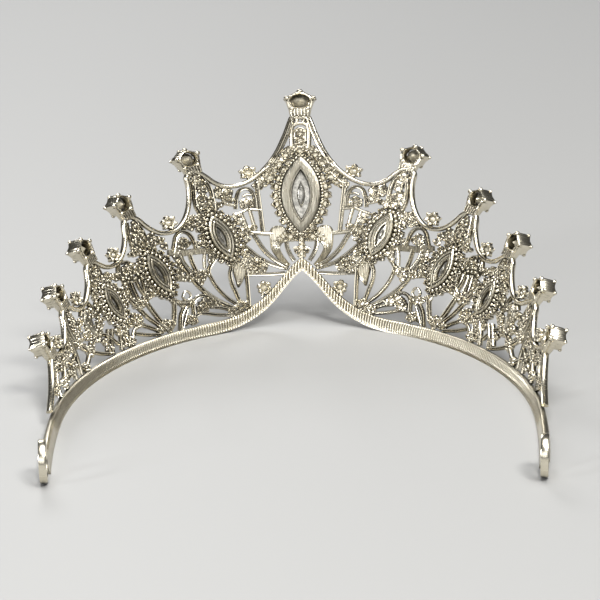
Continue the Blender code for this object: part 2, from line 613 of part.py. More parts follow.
def ribbon_loop(name, sign):
    """Upright flat-sided ring at the end of a leg, for a ribbon or a hair grip."""
    count = 14
    middle = RUN[-1] + GAP + LOOP_LONG
    end_x = CURVE_X[-1]
    end_y = CURVE_Y[-1]
    back = -CURVE_NX[-1]
    slope = math.atan2(CURVE_NY[-1], CURVE_NX[-1])
    along = (-math.sin(slope), math.cos(slope))
    out = (math.cos(slope), math.sin(slope))
    rings = []
    for o, share in ((-1, 0.0), (1, 0.0), (1, 1.0), (-1, 1.0)):
        ring = []
        for i in range(count):
            a = 2 * math.pi * i / count
            u = (LOOP_LONG - LOOP_WIRE * share) * math.cos(a)
            v = (LOOP_UP - LOOP_WIRE * share) * math.sin(a)
            run = middle - RUN[-1] + u
            off = o * LOOP_T / 2 + 0.5
            x = end_x + along[0] * run + out[0] * off
            y = end_y + along[1] * run + out[1] * off
            ring.append((sign * x * MM, (y + PLAN_Y) * MM, (LOOP_MID + v) * MM))
        rings.append(ring)
    return lofted(name, rings, "silver_plate", closed=True)


def mirrored(outlines):
    """The same outlines on the other half of the pattern."""
    return [[(-s, h) for s, h in poly] for poly in outlines]


def make_materials():
    """One Principled material per slot."""
    table = {}
    for name, (colour, metal, rough) in MATERIALS.items():
        mat = bpy.data.materials.new(name)
        mat.use_nodes = True
        shader = mat.node_tree.nodes["Principled BSDF"]
        shader.inputs["Base Color"].default_value = (*colour, 1.0)
        shader.inputs["Metallic"].default_value = metal
        shader.inputs["Roughness"].default_value = rough
        table[name] = mat
    return table


for old in list(bpy.data.objects):
    bpy.data.objects.remove(old, do_unlink=True)
MATERIAL = make_materials()

base_band()
for side, sign in (("l", 1), ("r", -1)):
    crest_rail(f"crest_rail_{side}", sign)
    ribbon_loop(f"ribbon_loop_{side}", sign)

both_rails = crest_keepout(1) + crest_keepout(-1)
band = band_keepout()
for index, medallion in enumerate(MEDALLIONS):
    opening = turned(marquise(medallion[3] + GAP, medallion[4] + GAP), *medallion[:3])
    outlines = spire_outlines(index)
    cuts = [opening] + band
    sides = (("c", 1),) if index == 0 else (("l", 1), ("r", -1))
    for side, sign in sides:
        tag = "centre" if index == 0 else f"{index}_{side}"
        if sign > 0:
            plate(f"spire_plate_{tag}", outlines, cuts + both_rails, PLATE_T, "silver_plate")
        else:
            plate(f"spire_plate_{tag}", mirrored(outlines), mirrored([opening]) + band + both_rails,
                  PLATE_T, "silver_plate")
        bezel(f"bezel_{tag}", index, sign)
        navette(f"navette_{tag}", index, sign)

star = ribs_and_bosses([(1.0, [(BAND_STAR[0], BAND_STAR[1]), (11.0, 8.0)])], [BAND_STAR])
star_room = ribs_and_bosses([], [BAND_STAR], GAP)
for index in range(len(BAY_RIBS)):
    outlines = ribs_and_bosses(BAY_RIBS[index], BAY_BOSSES[index])
    cuts = list(star_room)
    for other in (index, index + 1):
        if other < len(MEDALLIONS):
            cuts += spire_outlines(other, GAP)
    if index == 4:
        cuts += ribs_and_bosses(BAY_RIBS[3], BAY_BOSSES[3], GAP)
    for side, sign in (("l", 1), ("r", -1)):
        shapes = outlines if sign > 0 else mirrored(outlines)
        room = cuts if sign > 0 else mirrored(cuts)
        plate(f"openwork_{index + 1}_{side}", shapes, room + band + crest_keepout(sign), PLATE_T,
              "silver_plate")
for side, sign in (("l", 1), ("r", -1)):
    shapes = star if sign > 0 else mirrored(star)
    plate(f"band_star_{side}", shapes, band, PLATE_T, "silver_plate")

for index in range(len(HEADS)):
    sides = (("c", 1),) if index == 0 else (("l", 1), ("r", -1))
    for side, sign in sides:
        tag = "centre" if index == 0 else f"{index}_{side}"
        head_cup(f"spire_cup_{tag}", index, sign)
        head_stone(f"spire_stone_{tag}", index, sign)
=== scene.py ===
"""Bridal tiara: plated castings, brushed bezels, star cups and cut stones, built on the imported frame."""
import math

import bpy
import numpy as np
from mathutils import Matrix, Vector


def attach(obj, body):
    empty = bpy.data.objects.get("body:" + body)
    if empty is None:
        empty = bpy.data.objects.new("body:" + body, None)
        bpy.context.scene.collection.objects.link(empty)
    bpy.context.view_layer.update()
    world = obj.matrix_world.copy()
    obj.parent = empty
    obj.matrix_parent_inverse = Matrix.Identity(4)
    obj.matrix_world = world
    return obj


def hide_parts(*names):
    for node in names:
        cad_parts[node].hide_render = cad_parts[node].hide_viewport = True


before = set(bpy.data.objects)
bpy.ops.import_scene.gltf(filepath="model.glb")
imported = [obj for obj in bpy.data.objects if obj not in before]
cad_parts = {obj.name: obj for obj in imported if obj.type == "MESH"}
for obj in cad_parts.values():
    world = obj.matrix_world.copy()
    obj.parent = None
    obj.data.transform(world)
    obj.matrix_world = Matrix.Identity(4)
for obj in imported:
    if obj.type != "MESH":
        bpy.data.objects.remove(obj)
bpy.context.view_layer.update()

# ---------------------------------------------------------------- dimensions, millimetres
# A place on the wall is (run from the middle, height), and an offset is positive towards the outer face.
MM = 0.001
HALF_WIDTH, FRONT_DEPTH, LEG, TOE_IN, FLARE, PLAN_Y = 60.0, 78.0, 34.0, 2.0, 19.0, 29.6
BAND_TOP = [(0, 19.6), (2, 17.9), (4, 15.6), (6, 13.2), (8, 10.9), (10, 9.0), (12.5, 7.2),
            (15, 5.8), (18, 4.6), (21, 3.8), (25, 3.35), (32, 3.2), (100, 3.2), (143, 2.8)]
BAND_LOW = [(0, 16.1), (2, 14.2), (4, 11.9), (6, 9.5), (8, 7.3), (10, 5.5), (12.5, 3.8),
            (15, 2.5), (18, 1.35), (21, 0.6), (25, 0.1), (28, 0.0), (143, 0.0)]
CREST = [(0.45, 60.2), (1.5, 59.9), (2.05, 58.3), (2.9, 55.2), (4.0, 52.0), (5.2, 49.3), (6.7, 46.8),
         (8.6, 44.5), (10.8, 42.6), (13.2, 41.4), (15.5, 41.0), (17.8, 41.4), (19.8, 42.7),
         (21.6, 44.7), (23.2, 46.1), (25.0, 46.3), (26.1, 45.0), (26.0, 42.6), (26.2, 40.0),
         (26.8, 37.2), (27.8, 34.7), (29.3, 32.5), (31.3, 31.0), (33.6, 30.6), (35.9, 31.0),
         (38.0, 32.3), (39.9, 34.2), (41.6, 36.3), (43.4, 37.2), (45.2, 36.9), (46.0, 35.4),
         (46.5, 32.6), (47.6, 30.0), (49.1, 27.8), (51.2, 26.3), (53.6, 25.8), (55.9, 26.3),
         (57.8, 27.5), (59.6, 28.7), (61.4, 28.9), (62.8, 27.8), (63.4, 25.8), (64.2, 23.8),
         (65.5, 21.8), (67.3, 20.0), (69.6, 19.0), (72.0, 19.0), (74.2, 20.0), (76.2, 21.0),
         (78.2, 21.1), (79.7, 19.9), (80.3, 18.2), (81.2, 16.4), (82.7, 14.4), (84.8, 12.8),
         (87.3, 12.1), (89.6, 12.3), (91.6, 13.0), (93.6, 13.1), (95.4, 12.1), (97.2, 10.4),
         (99.6, 8.6), (102.4, 7.0), (105.6, 5.8), (109.0, 4.9), (111.5, 4.4)]
# Spire cups as (run, height, lean in degrees, rise above the rail).
HEADS = [(0, 64.5, 0, 4.5), (25.0, 50.1, 12, 4.7), (44.9, 41.3, 14, 4.8), (61.4, 33.0, 14, 4.8),
         (78.2, 25.2, 14, 4.7), (94.2, 17.2, 14, 4.8)]
# Medallions as (run, height, lean, then half length and half width of the collar, its window and its seat).
MEDALLIONS = [(0.0, 37.5, 0, 11.1, 4.5, 7.3, 2.2, 12.1, 6.1), (19.9, 27.0, 17, 6.9, 2.8, 3.3, 0.85, 7.9, 4.6),
              (39.4, 20.2, 20, 6.6, 2.8, 3.2, 0.85, 7.9, 4.9), (57.3, 16.2, 20, 5.6, 2.5, 2.7, 0.8, 6.8, 4.7)]

# Ribs as (style, width, path): d double-lined, r round, f flat brushed (its path carries widths), and star cups
# as (run, height, radius). In the centre spire an entry right of the middle stands for its mirror image too.
SPIRE_RIBS = [
    [("r", 0.85, [(1.7, 50.2), (1.8, 53.4), (1.8, 56.0), (1.6, 57.4)]),
     ("r", 0.85, [(-1.75, 57.1), (-1.0, 57.85), (0, 58.1), (1.0, 57.85), (1.75, 57.1)]),
     ("r", 0.6, [(-1.15, 54.2), (-1.0, 55.9), (0, 56.8), (1.0, 55.9), (1.15, 54.2)]),
     ("r", 0.8, [(3.0, 50.9), (3.5, 50.2), (4.4, 49.8)]),
     ("r", 1.0, [(-2.2, 50.9), (0, 51.3), (2.2, 50.9)]),
     ("r", 0.75, [(1.9, 60.0), (1.6, 58.4), (1.7, 57.2)]),
     ("r", 0.9, [(-1.7, 59.9), (0, 59.7), (1.7, 59.9)]),
     ("r", 0.8, [(0.9, 59.6), (0.6, 58.6), (0.7, 58.0)]), ("r", 1.3, [(0, 26.0), (0, 19.4)]),
     ("r", 0.8, [(-2.0, 21.9), (-1.0, 22.4), (0, 22.0), (1.0, 22.4), (2.0, 21.9)])],
    [("d", 0.9, [(20.6, 34.6), (20.6, 38.0), (21.0, 41.6), (22.4, 44.4)]),
     ("d", 0.9, [(23.9, 33.4), (25.0, 36.6), (24.9, 40.8), (24.5, 44.8)]),
     ("d", 1.0, [(16.4, 20.6), (14.7, 18.4), (14.5, 14.6), (14.8, 5.6)]),
     ("d", 0.95, [(17.9, 18.8), (18.9, 16.4), (18.8, 13.4), (18.0, 10.6), (17.2, 7.8)]),
     ("f", 1.0, [(16.5, 19.0, 3.0), (16.4, 16.6, 3.3), (16.5, 14.8, 2.7), (16.9, 13.2, 1.5),
                 (17.2, 12.1, 0.4)]), ("r", 0.6, [(22.9, 44.6), (24.4, 45.7), (25.8, 44.4)])],
    [("d", 0.9, [(40.4, 27.2), (40.5, 30.4), (41.3, 33.6), (42.8, 36.2)]),
     ("d", 0.9, [(43.8, 26.6), (45.0, 29.6), (45.1, 33.0), (44.9, 36.0)]),
     ("d", 1.1, [(36.3, 12.4), (37.2, 8.6), (38.4, 5.0)])],
    [("d", 0.9, [(58.6, 22.4), (58.4, 25.0), (59.3, 28.0)]),
     ("d", 0.9, [(60.8, 21.8), (62.0, 24.2), (61.9, 27.4)]),
     ("d", 1.0, [(54.9, 9.8), (55.4, 6.4), (55.4, 3.2)]),
     ("d", 1.0, [(56.8, 9.4), (58.4, 6.6), (59.4, 3.4)])],
]
SPIRE_CUPS = [
    [(0, 53.0, 1.15), (0, 55.0, 0.85), (1.15, 50.6, 0.9), (2.5, 50.8, 0.9), (0.9, 52.0, 0.7),
     (3.2, 49.0, 1.0), (1.5, 49.3, 0.85), (5.1, 48.4, 0.85), (4.6, 46.5, 1.0), (6.3, 46.3, 0.9),
     (5.7, 44.6, 1.0), (7.4, 44.8, 0.9), (4.2, 44.3, 0.6), (0, 22.5, 1.2), (1.2, 21.3, 0.8),
     (0, 20.7, 0.9), (1.2, 25.0, 0.95), (0, 24.6, 0.9), (2.7, 25.5, 1.1), (5.4, 24.9, 1.0),
     (4.0, 24.9, 0.8), (4.0, 26.6, 0.8)],
    [(23.2, 43.4, 1.1), (22.5, 41.4, 0.9), (24.0, 41.5, 0.8), (23.4, 38.6, 1.1), (22.0, 37.2, 0.8),
     (21.8, 35.4, 0.95), (23.4, 35.2, 0.9), (18.8, 36.2, 0.95), (17.0, 7.0, 1.35), (15.5, 6.6, 0.9),
     (18.6, 6.0, 0.9), (16.2, 18.9, 0.9), (18.0, 18.7, 0.9), (17.4, 5.0, 0.8), (14.6, 17.6, 0.8),
     (20.1, 5.9, 0.8)],
    [(42.8, 34.0, 1.2), (42.3, 31.6, 0.95), (43.6, 31.2, 0.8), (42.5, 29.4, 1.0), (38.6, 29.8, 1.0),
     (39.8, 28.7, 0.9), (37.4, 28.6, 0.8), (45.2, 27.4, 0.8), (41.0, 5.5, 1.3), (42.4, 4.5, 0.8),
     (39.4, 4.7, 0.8)],
    [(60.4, 25.8, 1.2), (60.2, 23.6, 0.9), (56.4, 24.0, 0.9), (57.8, 23.4, 0.8), (62.6, 21.4, 0.9),
     (56.9, 5.2, 1.2), (63.2, 19.6, 0.9)],
]
BAY_RIBS = [
    [("d", 0.95, [(9.9, 42.0), (9.8, 38), (9.5, 32), (9.3, 27.2)]),
     ("d", 0.85, [(10.6, 34.2), (10.7, 37.4), (11.4, 39.4), (12.7, 40.1), (14.1, 39.4), (14.9, 37.4),
                  (15.4, 34.4)]),
     ("r", 0.75, [(9.5, 33.6), (11.2, 33.9), (12.7, 34.0), (14.2, 33.3), (15.8, 32.7)]),
     ("r", 0.8, [(12.1, 33.8), (11.2, 28.4)]), ("r", 0.85, [(14.2, 33.2), (12.8, 27.6)]),
     ("r", 1.05, [(6.8, 26.5), (9.6, 26.9), (12.4, 27.5)]),
     ("r", 0.7, [(11.4, 38.0), (12.4, 38.3), (13.4, 37.8)]),
     ("f", 1.1, [(5.6, 28.8, 1.6), (5.6, 28.3, 3.2), (5.6, 27.0, 4.4), (5.8, 25.5, 4.3),
                 (6.3, 24.0, 3.1), (6.5, 22.4, 2.3), (5.8, 20.5, 1.9), (4.6, 18.7, 1.5), (3.3, 17.2, 1.1)]),
     ("d", 0.95, [(1.9, 18.6), (2.9, 20.4), (3.6, 22.6), (3.7, 24.8)]),
     ("d", 1.05, [(4.2, 17.2), (7.2, 19.4), (9.6, 22.4), (11.6, 26.6)]),
     ("d", 1.0, [(4.4, 16.6), (8.2, 18.1), (11.2, 20.4), (14.2, 23.6)]),
     ("d", 0.9, [(4.4, 15.2), (8.0, 15.05), (12.0, 15.3), (14.4, 15.6)]),
     ("r", 0.8, [(12.2, 19.4), (13.6, 21.0), (15.4, 22.0)]), ("r", 0.8, [(12.8, 17.0), (14.4, 18.2)]),
     ("r", 0.8, [(15.2, 37.0), (17.2, 38.0), (18.8, 40.6)]), ("r", 0.75, [(15.3, 35.4), (18.2, 36.4)]),
     ("r", 0.7, [(6.0, 45.0), (7.4, 43.0), (9.6, 40.6)])],
    [("d", 0.9, [(26.9, 24.6), (27.5, 27.8), (28.7, 29.7), (30.5, 30.1), (31.9, 29.0), (32.8, 27.0),
                 (33.7, 24.8)]),
     ("f", 1.0, [(22.6, 23.2, 1.5), (24.6, 23.7, 1.8), (27.4, 24.0, 1.9), (31.0, 24.2, 1.9),
                 (33.2, 24.8, 2.4), (35.0, 25.2, 1.6)]),
     ("d", 0.9, [(29.1, 24.0), (28.7, 21.0), (28.0, 18.2)]),
     ("r", 0.8, [(31.6, 24.2), (31.0, 21.4), (29.4, 18.6)]),
     ("r", 0.8, [(24.6, 23.8), (25.3, 21.4), (25.6, 18.8)]),
     ("d", 0.9, [(18.2, 7.5), (20.6, 9.6), (22.9, 12.7), (24.3, 16.0), (24.5, 18.4), (22.5, 20.8)]),
     ("d", 1.15, [(18.4, 5.9), (22.2, 8.3), (25.4, 10.9), (28.2, 14.2), (30.4, 18.2), (32.6, 22.6)]),
     ("d", 0.8, [(21.0, 7.4), (24.4, 9.7), (27.2, 12.3)]),
     ("f", 1.0, [(29.2, 16.4, 1.2), (31.4, 16.8, 1.5), (34.4, 17.8, 2.0)]),
     ("d", 0.9, [(24.8, 9.8), (26.6, 11.0), (28.4, 11.4), (30.0, 10.8), (31.0, 9.4), (31.4, 6.6)]),
     ("d", 0.85, [(19.0, 5.4), (22.4, 6.9), (26.0, 7.8)]),
     ("d", 0.9, [(19.4, 4.4), (24.4, 5.3), (28.6, 6.5), (31.0, 6.2)]),
     ("r", 0.8, [(30.4, 10.6), (33.6, 10.6), (36.2, 11.6)]),
     ("d", 0.95, [(33.6, 9.4), (35.4, 7.2), (36.8, 3.2)]),
     ("r", 0.7, [(33.0, 8.2), (34.4, 5.8), (35.8, 3.2)]),
     ("r", 0.6, [(33.6, 12.2), (33.2, 11.2), (32.2, 10.9), (31.3, 11.5), (31.1, 12.4), (31.8, 13.4),
                 (32.8, 13.3), (33.6, 12.2)]), ("r", 0.8, [(24.6, 33.4), (27.4, 33.2), (29.8, 31.4)]),
     ("r", 0.7, [(27.3, 27.0), (26.0, 26.2), (24.4, 26.0)])],
    [("d", 0.9, [(45.6, 21.6), (46.6, 24.0), (48.2, 25.5), (50.2, 25.8)]),
     ("d", 0.9, [(50.6, 26.4), (51.7, 24.6), (52.4, 22.4)]),
     ("f", 1.2, [(43.8, 22.3, 1.3), (47.0, 22.4, 1.5), (50.4, 22.3, 1.5), (53.6, 22.0, 1.3)]),
     ("f", 1.2, [(44.2, 20.6, 1.1), (47.0, 20.7, 1.1), (51.2, 20.4, 1.1)]),
     ("r", 1.0, [(44.8, 24.1), (47.6, 24.6), (50.8, 24.2)]),
     ("d", 1.0, [(46.9, 20.4), (46.5, 18.0), (45.4, 15.6)]),
     ("d", 0.9, [(48.8, 20.4), (48.5, 17.4), (47.8, 14.4)]),
     ("d", 0.8, [(45.0, 20.4), (44.9, 18.6), (45.0, 16.4)]),
     ("d", 1.0, [(50.2, 20.4), (50.0, 16.4), (49.2, 14.2)]),
     ("d", 1.15, [(41.6, 5.6), (43.4, 8.8), (45.2, 12.6), (45.6, 14.6), (44.4, 16.2), (43.0, 15.4)]),
     ("d", 1.0, [(41.8, 4.8), (45.8, 8.6), (48.4, 12.0), (51.0, 15.6)]),
     ("d", 1.0, [(42.6, 4.0), (46.6, 6.4), (50.0, 8.2), (52.8, 10.4)]),
     ("d", 0.9, [(43.6, 3.6), (48.0, 4.6), (52.6, 6.2)]),
     ("r", 0.9, [(50.4, 8.2), (53.0, 6.6), (54.6, 3.4)]), ("r", 0.8, [(49.4, 25.6), (50.0, 27.0)])],
    [("f", 1.0, [(62.2, 15.6, 1.2), (65.4, 15.4, 1.3), (67.6, 15.8, 1.2)]),
     ("f", 1.1, [(69.2, 17.8, 1.4), (69.3, 15.4, 3.6), (69.0, 13.0, 3.0), (68.2, 10.6, 1.4)]),
     ("d", 0.9, [(65.6, 15.2), (66.2, 18.0), (67.6, 19.6), (70.0, 18.6), (71.4, 16.8)]),
     ("d", 0.9, [(60.6, 9.8), (62.6, 6.8), (63.6, 3.4)]),
     ("d", 0.9, [(62.2, 10.2), (64.2, 7.2), (65.4, 5.0)]),
     ("d", 0.9, [(60.0, 5.4), (62.6, 8.0), (65.0, 9.6), (68.4, 10.0)]),
     ("d", 0.9, [(64.6, 4.0), (68.4, 5.2), (72.4, 7.0)]),
     ("r", 1.0, [(68.4, 10.0), (71.0, 8.6), (73.0, 7.2)]),
     ("d", 0.9, [(73.0, 7.4), (76.0, 9.4), (77.2, 11.6)]),
     ("d", 0.9, [(73.4, 7.0), (75.6, 5.4), (77.6, 4.0)]),
     ("r", 0.9, [(70.6, 12.2), (74.2, 11.2), (77.2, 11.2)]),
     ("d", 0.9, [(76.9, 20.4), (75.4, 16.4), (75.8, 11.6)]),
     ("d", 0.9, [(78.8, 20.2), (79.2, 15.6), (77.6, 11.4)])],
    [("d", 0.9, [(81.6, 16.0), (80.7, 13.0), (80.4, 9.0), (81.2, 3.4)]),
     ("d", 0.9, [(80.4, 9.0), (83.6, 7.2), (84.8, 3.4)]),
     ("r", 1.0, [(80.5, 11.0), (84.6, 10.2), (88.6, 9.0)]),
     ("d", 0.9, [(83.8, 7.2), (86.6, 9.6), (87.6, 11.8)]),
     ("d", 0.9, [(88.6, 9.0), (90.6, 10.4), (91.6, 12.4)]),
     ("d", 0.9, [(88.6, 9.0), (94.0, 9.4), (95.2, 11.6)]),
     ("d", 0.9, [(83.8, 7.0), (88.4, 5.6), (91.6, 5.0)]),
     ("d", 0.9, [(88.6, 9.0), (91.6, 5.0), (92.4, 3.4)]),
     ("d", 0.9, [(94.0, 9.4), (96.4, 7.2), (98.4, 3.4)]),
     ("d", 0.9, [(96.4, 7.2), (99.6, 5.6), (102.6, 6.4)]),
     ("d", 0.9, [(78.6, 4.2), (81.0, 5.8), (83.6, 7.0)])],
]
BAY_CUPS = [
    [(12.7, 36.2, 1.05), (11.8, 35.0, 0.7), (13.7, 35.0, 0.7), (11.2, 28.8, 0.75), (12.4, 28.0, 0.85),
     (13.4, 26.9, 0.8), (14.2, 28.6, 0.8), (11.5, 17.8, 1.25), (10.2, 19.1, 0.85), (10.1, 17.0, 0.8),
     (12.5, 19.4, 0.85), (12.9, 17.3, 0.85), (11.7, 16.1, 0.8), (8.0, 41.0, 0.95), (9.2, 40.0, 0.8),
     (8.5, 42.6, 0.8), (6.6, 43.8, 0.85), (6.6, 41.2, 0.75), (17.2, 39.6, 0.9), (18.4, 38.4, 0.95),
     (17.0, 37.6, 0.8), (19.4, 40.2, 0.8), (3.9, 26.6, 0.8), (4.2, 16.9, 0.75), (13.8, 20.7, 0.7),
     (14.2, 24.6, 0.8), (14.2, 22.4, 0.8)],
    [(30.0, 27.6, 1.1), (28.7, 26.6, 0.8), (31.2, 26.6, 0.8), (26.7, 17.7, 0.95), (28.0, 16.6, 1.1),
     (28.8, 18.2, 0.8), (28.2, 8.8, 1.4), (26.9, 8.4, 0.8), (29.6, 8.2, 0.8), (32.8, 5.4, 1.4),
     (31.4, 4.6, 0.8), (34.4, 4.7, 0.8), (25.6, 33.2, 0.9), (27.1, 33.2, 0.95), (27.9, 31.8, 0.85),
     (26.2, 31.6, 0.85), (29.2, 31.0, 0.7), (25.4, 29.8, 0.8), (24.8, 27.8, 0.8), (24.9, 25.9, 0.8),
     (26.6, 26.2, 0.75), (23.4, 21.6, 0.8), (35.2, 10.8, 0.8), (33.2, 21.4, 0.8), (33.4, 19.4, 0.8)],
    [(48.4, 23.6, 0.95), (48.2, 13.4, 1.35), (46.8, 13.0, 0.8), (49.6, 13.2, 0.8), (50.4, 8.4, 1.35),
     (49.0, 7.8, 0.8), (51.8, 9.2, 0.8), (55.2, 4.9, 1.3), (53.8, 4.4, 0.8), (44.6, 17.4, 0.8),
     (46.4, 27.2, 0.7), (51.4, 19.2, 0.8), (51.2, 17.0, 0.8)],
    [(67.4, 16.6, 1.2), (68.2, 9.8, 1.2), (66.8, 9.4, 0.8), (73.0, 7.2, 1.3), (71.6, 7.6, 0.8),
     (77.0, 16.4, 1.2), (77.0, 13.6, 0.9), (77.2, 11.2, 1.3), (64.2, 4.8, 1.2), (77.4, 4.3, 1.3),
     (65.6, 12.2, 0.9), (63.8, 13.4, 0.9), (66.0, 10.8, 0.8), (76.8, 18.6, 0.9), (72.4, 12.0, 0.9),
     (70.2, 10.6, 0.9), (75.0, 9.6, 0.8)],
    [(84.8, 10.4, 1.2), (83.7, 7.1, 1.2), (91.6, 5.2, 1.25), (93.4, 10.9, 1.1), (88.4, 9.0, 1.1),
     (82.2, 10.8, 0.8), (86.6, 9.9, 0.8), (91.4, 8.8, 0.8), (87.4, 6.0, 0.9), (97.2, 6.6, 0.9),
     (99.6, 5.2, 0.8), (85.4, 5.2, 0.8)],
]
# Thin webs that join the cups of a cluster, as (run, height, radius).
SPIRE_WEBS = [
    [(0, 55.4, 1.15), (0, 53.4, 1.35), (0, 51.6, 1.5), (2.2, 50.4, 1.3), (0, 50.0, 1.5), (3.0, 49.0, 1.4),
     (5.0, 47.0, 1.5), (6.2, 45.4, 1.8), (0, 22.0, 1.35), (0, 20.6, 1.2), (0, 25.6, 1.6),
     (2.3, 25.6, 1.6), (4.6, 25.2, 1.4)],
    [(22.9, 42.6, 1.5), (23.4, 38.4, 1.6), (22.2, 36.0, 1.5), (20.6, 35.8, 1.5), (22.7, 40.6, 1.2),
     (23.6, 44.4, 1.2), (21.0, 38.0, 0.9), (24.6, 43.4, 1.0), (23.9, 36.4, 1.0), (17.0, 7.0, 1.6),
     (15.4, 6.8, 1.3), (18.5, 6.0, 1.4), (20.0, 5.8, 1.1), (17.4, 5.1, 1.1), (19.4, 4.8, 1.1),
     (16.6, 18.8, 1.7), (14.8, 18.4, 1.2)],
    [(42.4, 35.2, 1.2), (43.4, 33.4, 1.7), (42.6, 31.4, 1.7), (44.4, 31.8, 1.2), (43.4, 29.4, 1.9),
     (41.4, 29.6, 1.4), (44.6, 29.4, 1.3), (41.4, 32.4, 0.9), (38.8, 30.4, 1.4), (37.4, 29.2, 1.4),
     (39.2, 28.4, 1.5), (44.9, 27.4, 1.2), (39.0, 5.4, 1.2), (40.6, 5.8, 1.5), (42.4, 5.6, 1.4),
     (43.8, 4.8, 1.1), (40.2, 4.2, 1.1), (36.8, 11.6, 1.0)],
    [(60.6, 26.8, 1.5), (61.0, 24.6, 1.9), (59.4, 23.8, 1.5), (62.4, 23.0, 1.5), (59.6, 25.8, 1.2),
     (57.6, 23.4, 1.3), (56.2, 23.6, 1.3), (56.6, 5.2, 1.6), (58.0, 4.8, 1.2), (54.6, 9.4, 1.6),
     (56.6, 8.8, 1.6), (58.6, 8.8, 1.4), (57.2, 7.2, 1.2), (63.0, 20.6, 1.2)],
]
BAY_WEBS = [
    [(12.6, 35.6, 1.8), (12.4, 28.0, 1.5), (13.9, 27.8, 1.6), (14.4, 30.6, 1.2), (15.4, 32.4, 1.1),
     (8.6, 41.6, 1.6), (9.8, 40.6, 1.2), (17.0, 39.2, 1.5), (17.0, 37.2, 1.4), (18.8, 39.0, 1.2),
     (18.6, 40.8, 0.9), (4.3, 17.0, 1.0), (7.0, 43.2, 1.6), (10.3, 17.2, 1.6), (12.0, 18.4, 1.9),
     (13.8, 19.4, 1.6), (13.6, 17.2, 1.5), (12.4, 16.4, 1.2), (14.2, 21.6, 1.3), (15.0, 23.4, 1.0),
     (13.4, 25.6, 1.0)],
    [(30.2, 26.8, 1.8), (31.4, 25.6, 1.0), (25.4, 17.4, 1.2), (27.0, 16.9, 1.7), (28.8, 17.2, 1.5),
     (30.2, 17.0, 1.2), (31.6, 17.2, 1.0), (27.4, 15.2, 1.0), (33.0, 17.6, 1.2), (23.7, 8.3, 0.9),
     (25.2, 8.7, 1.4), (26.8, 9.2, 1.6), (27.8, 7.7, 1.4), (29.2, 7.4, 1.1), (31.0, 10.0, 0.9),
     (32.6, 9.7, 1.1), (34.2, 10.2, 1.1), (31.8, 5.0, 1.4), (33.2, 5.7, 1.2), (24.6, 33.0, 1.4),
     (26.5, 32.8, 1.6), (28.3, 31.7, 1.3), (27.3, 31.0, 1.1), (25.2, 31.2, 1.2), (24.9, 25.9, 1.1),
     (22.6, 22.0, 1.4), (23.6, 20.4, 0.9), (32.6, 23.4, 1.3), (32.8, 21.4, 1.1), (32.6, 19.4, 1.1),
     (26.4, 25.6, 0.9), (35.6, 27.2, 1.1), (36.2, 29.0, 1.0)],
    [(45.4, 23.0, 1.5), (47.4, 23.4, 1.5), (49.4, 23.6, 1.5), (50.8, 22.8, 1.4), (46.0, 20.6, 1.2),
     (48.4, 20.8, 1.2), (50.6, 20.8, 1.2), (51.6, 18.4, 1.3), (51.4, 16.4, 1.2), (43.4, 15.2, 1.3),
     (45.2, 14.6, 1.3), (46.4, 13.6, 1.4), (47.8, 13.4, 1.6), (49.0, 14.8, 1.1), (49.6, 9.6, 1.4),
     (51.2, 10.4, 1.5), (52.6, 9.4, 1.4), (51.0, 8.2, 1.2), (54.4, 4.8, 1.3), (55.4, 5.0, 1.2),
     (53.6, 22.8, 1.1), (54.8, 23.2, 1.0)],
    [(67.6, 16.4, 1.6), (68.2, 9.8, 1.6), (73.0, 7.2, 1.6), (77.0, 16.2, 1.6), (77.2, 11.2, 1.7),
     (64.0, 5.0, 1.5), (65.0, 12.6, 1.6), (76.9, 18.6, 1.4), (71.4, 11.4, 1.6), (77.4, 4.4, 1.4),
     (66.2, 11.0, 1.4), (69.6, 17.4, 1.3), (72.6, 15.6, 1.2), (74.6, 14.2, 1.2), (77.0, 13.6, 1.4),
     (63.6, 17.6, 1.2), (64.6, 15.4, 1.3), (71.6, 8.4, 1.2), (65.4, 7.6, 1.1), (70.2, 13.4, 1.3)],
    [(84.8, 10.3, 1.6), (83.7, 7.1, 1.5), (91.6, 5.2, 1.6), (93.4, 11.0, 1.5), (88.4, 9.0, 1.5),
     (97.4, 6.4, 1.4), (86.6, 10.0, 1.3), (90.4, 10.6, 1.2), (82.4, 11.6, 1.3), (95.4, 8.8, 1.2),
     (99.6, 5.4, 1.1), (87.0, 6.0, 1.1), (81.6, 13.4, 1.1)],
]
# Stars on the rail as (run, height, radius, lean), and the star on the band as (run, height, radius).
RAIL_STARS = [(11.6, 44.5, 2.05, 10), (32.8, 33.3, 2.1, 14), (51.6, 28.6, 2.1, 14), (70.4, 21.6, 2.0, 12),
              (86.6, 14.8, 1.95, 14)]
BAND_STAR = (10.1, 11.3, 2.1)
STAR_TURN = 0.35                             # radians

BAND_HALF = 0.9                              # half the band's thickness
RIB_PITCH, RIB_DEPTH, RIB_SAMPLES = 0.8, 0.30, 8
RIB_END, RIB_FADE = 118, 6                   # the ribs fade out over this run
CREST_WIDTH = [(0, 1.1), (1.5, 1.3), (3.5, 1.55), (6.5, 1.4), (9.0, 1.32), (95, 1.3), (111, 0.9)]
CREST_DEPTH = 0.95                           # half the rail's thickness
PLATE_DEPTH = {"r": 1.15, "d": 1.3, "f": 1.2}  # thickness of a rib by its style
WREATH_CUP = {True: 1.3, False: 1.1}         # radius of a wreath's star cups, centre and side
STONE_SEAT, STONE_LEDGE = (1.75, 0.95), 1.3  # navette: how far its girdle stands inside the collar, its level
CLAWS = np.radians([90, 18, 162, 234, 306])
ROUND_STONE, ROUND_LEVEL, ROUND_CONE = 2.26, 2.75, 1.6  # girdle radius, level, cone depth over radius

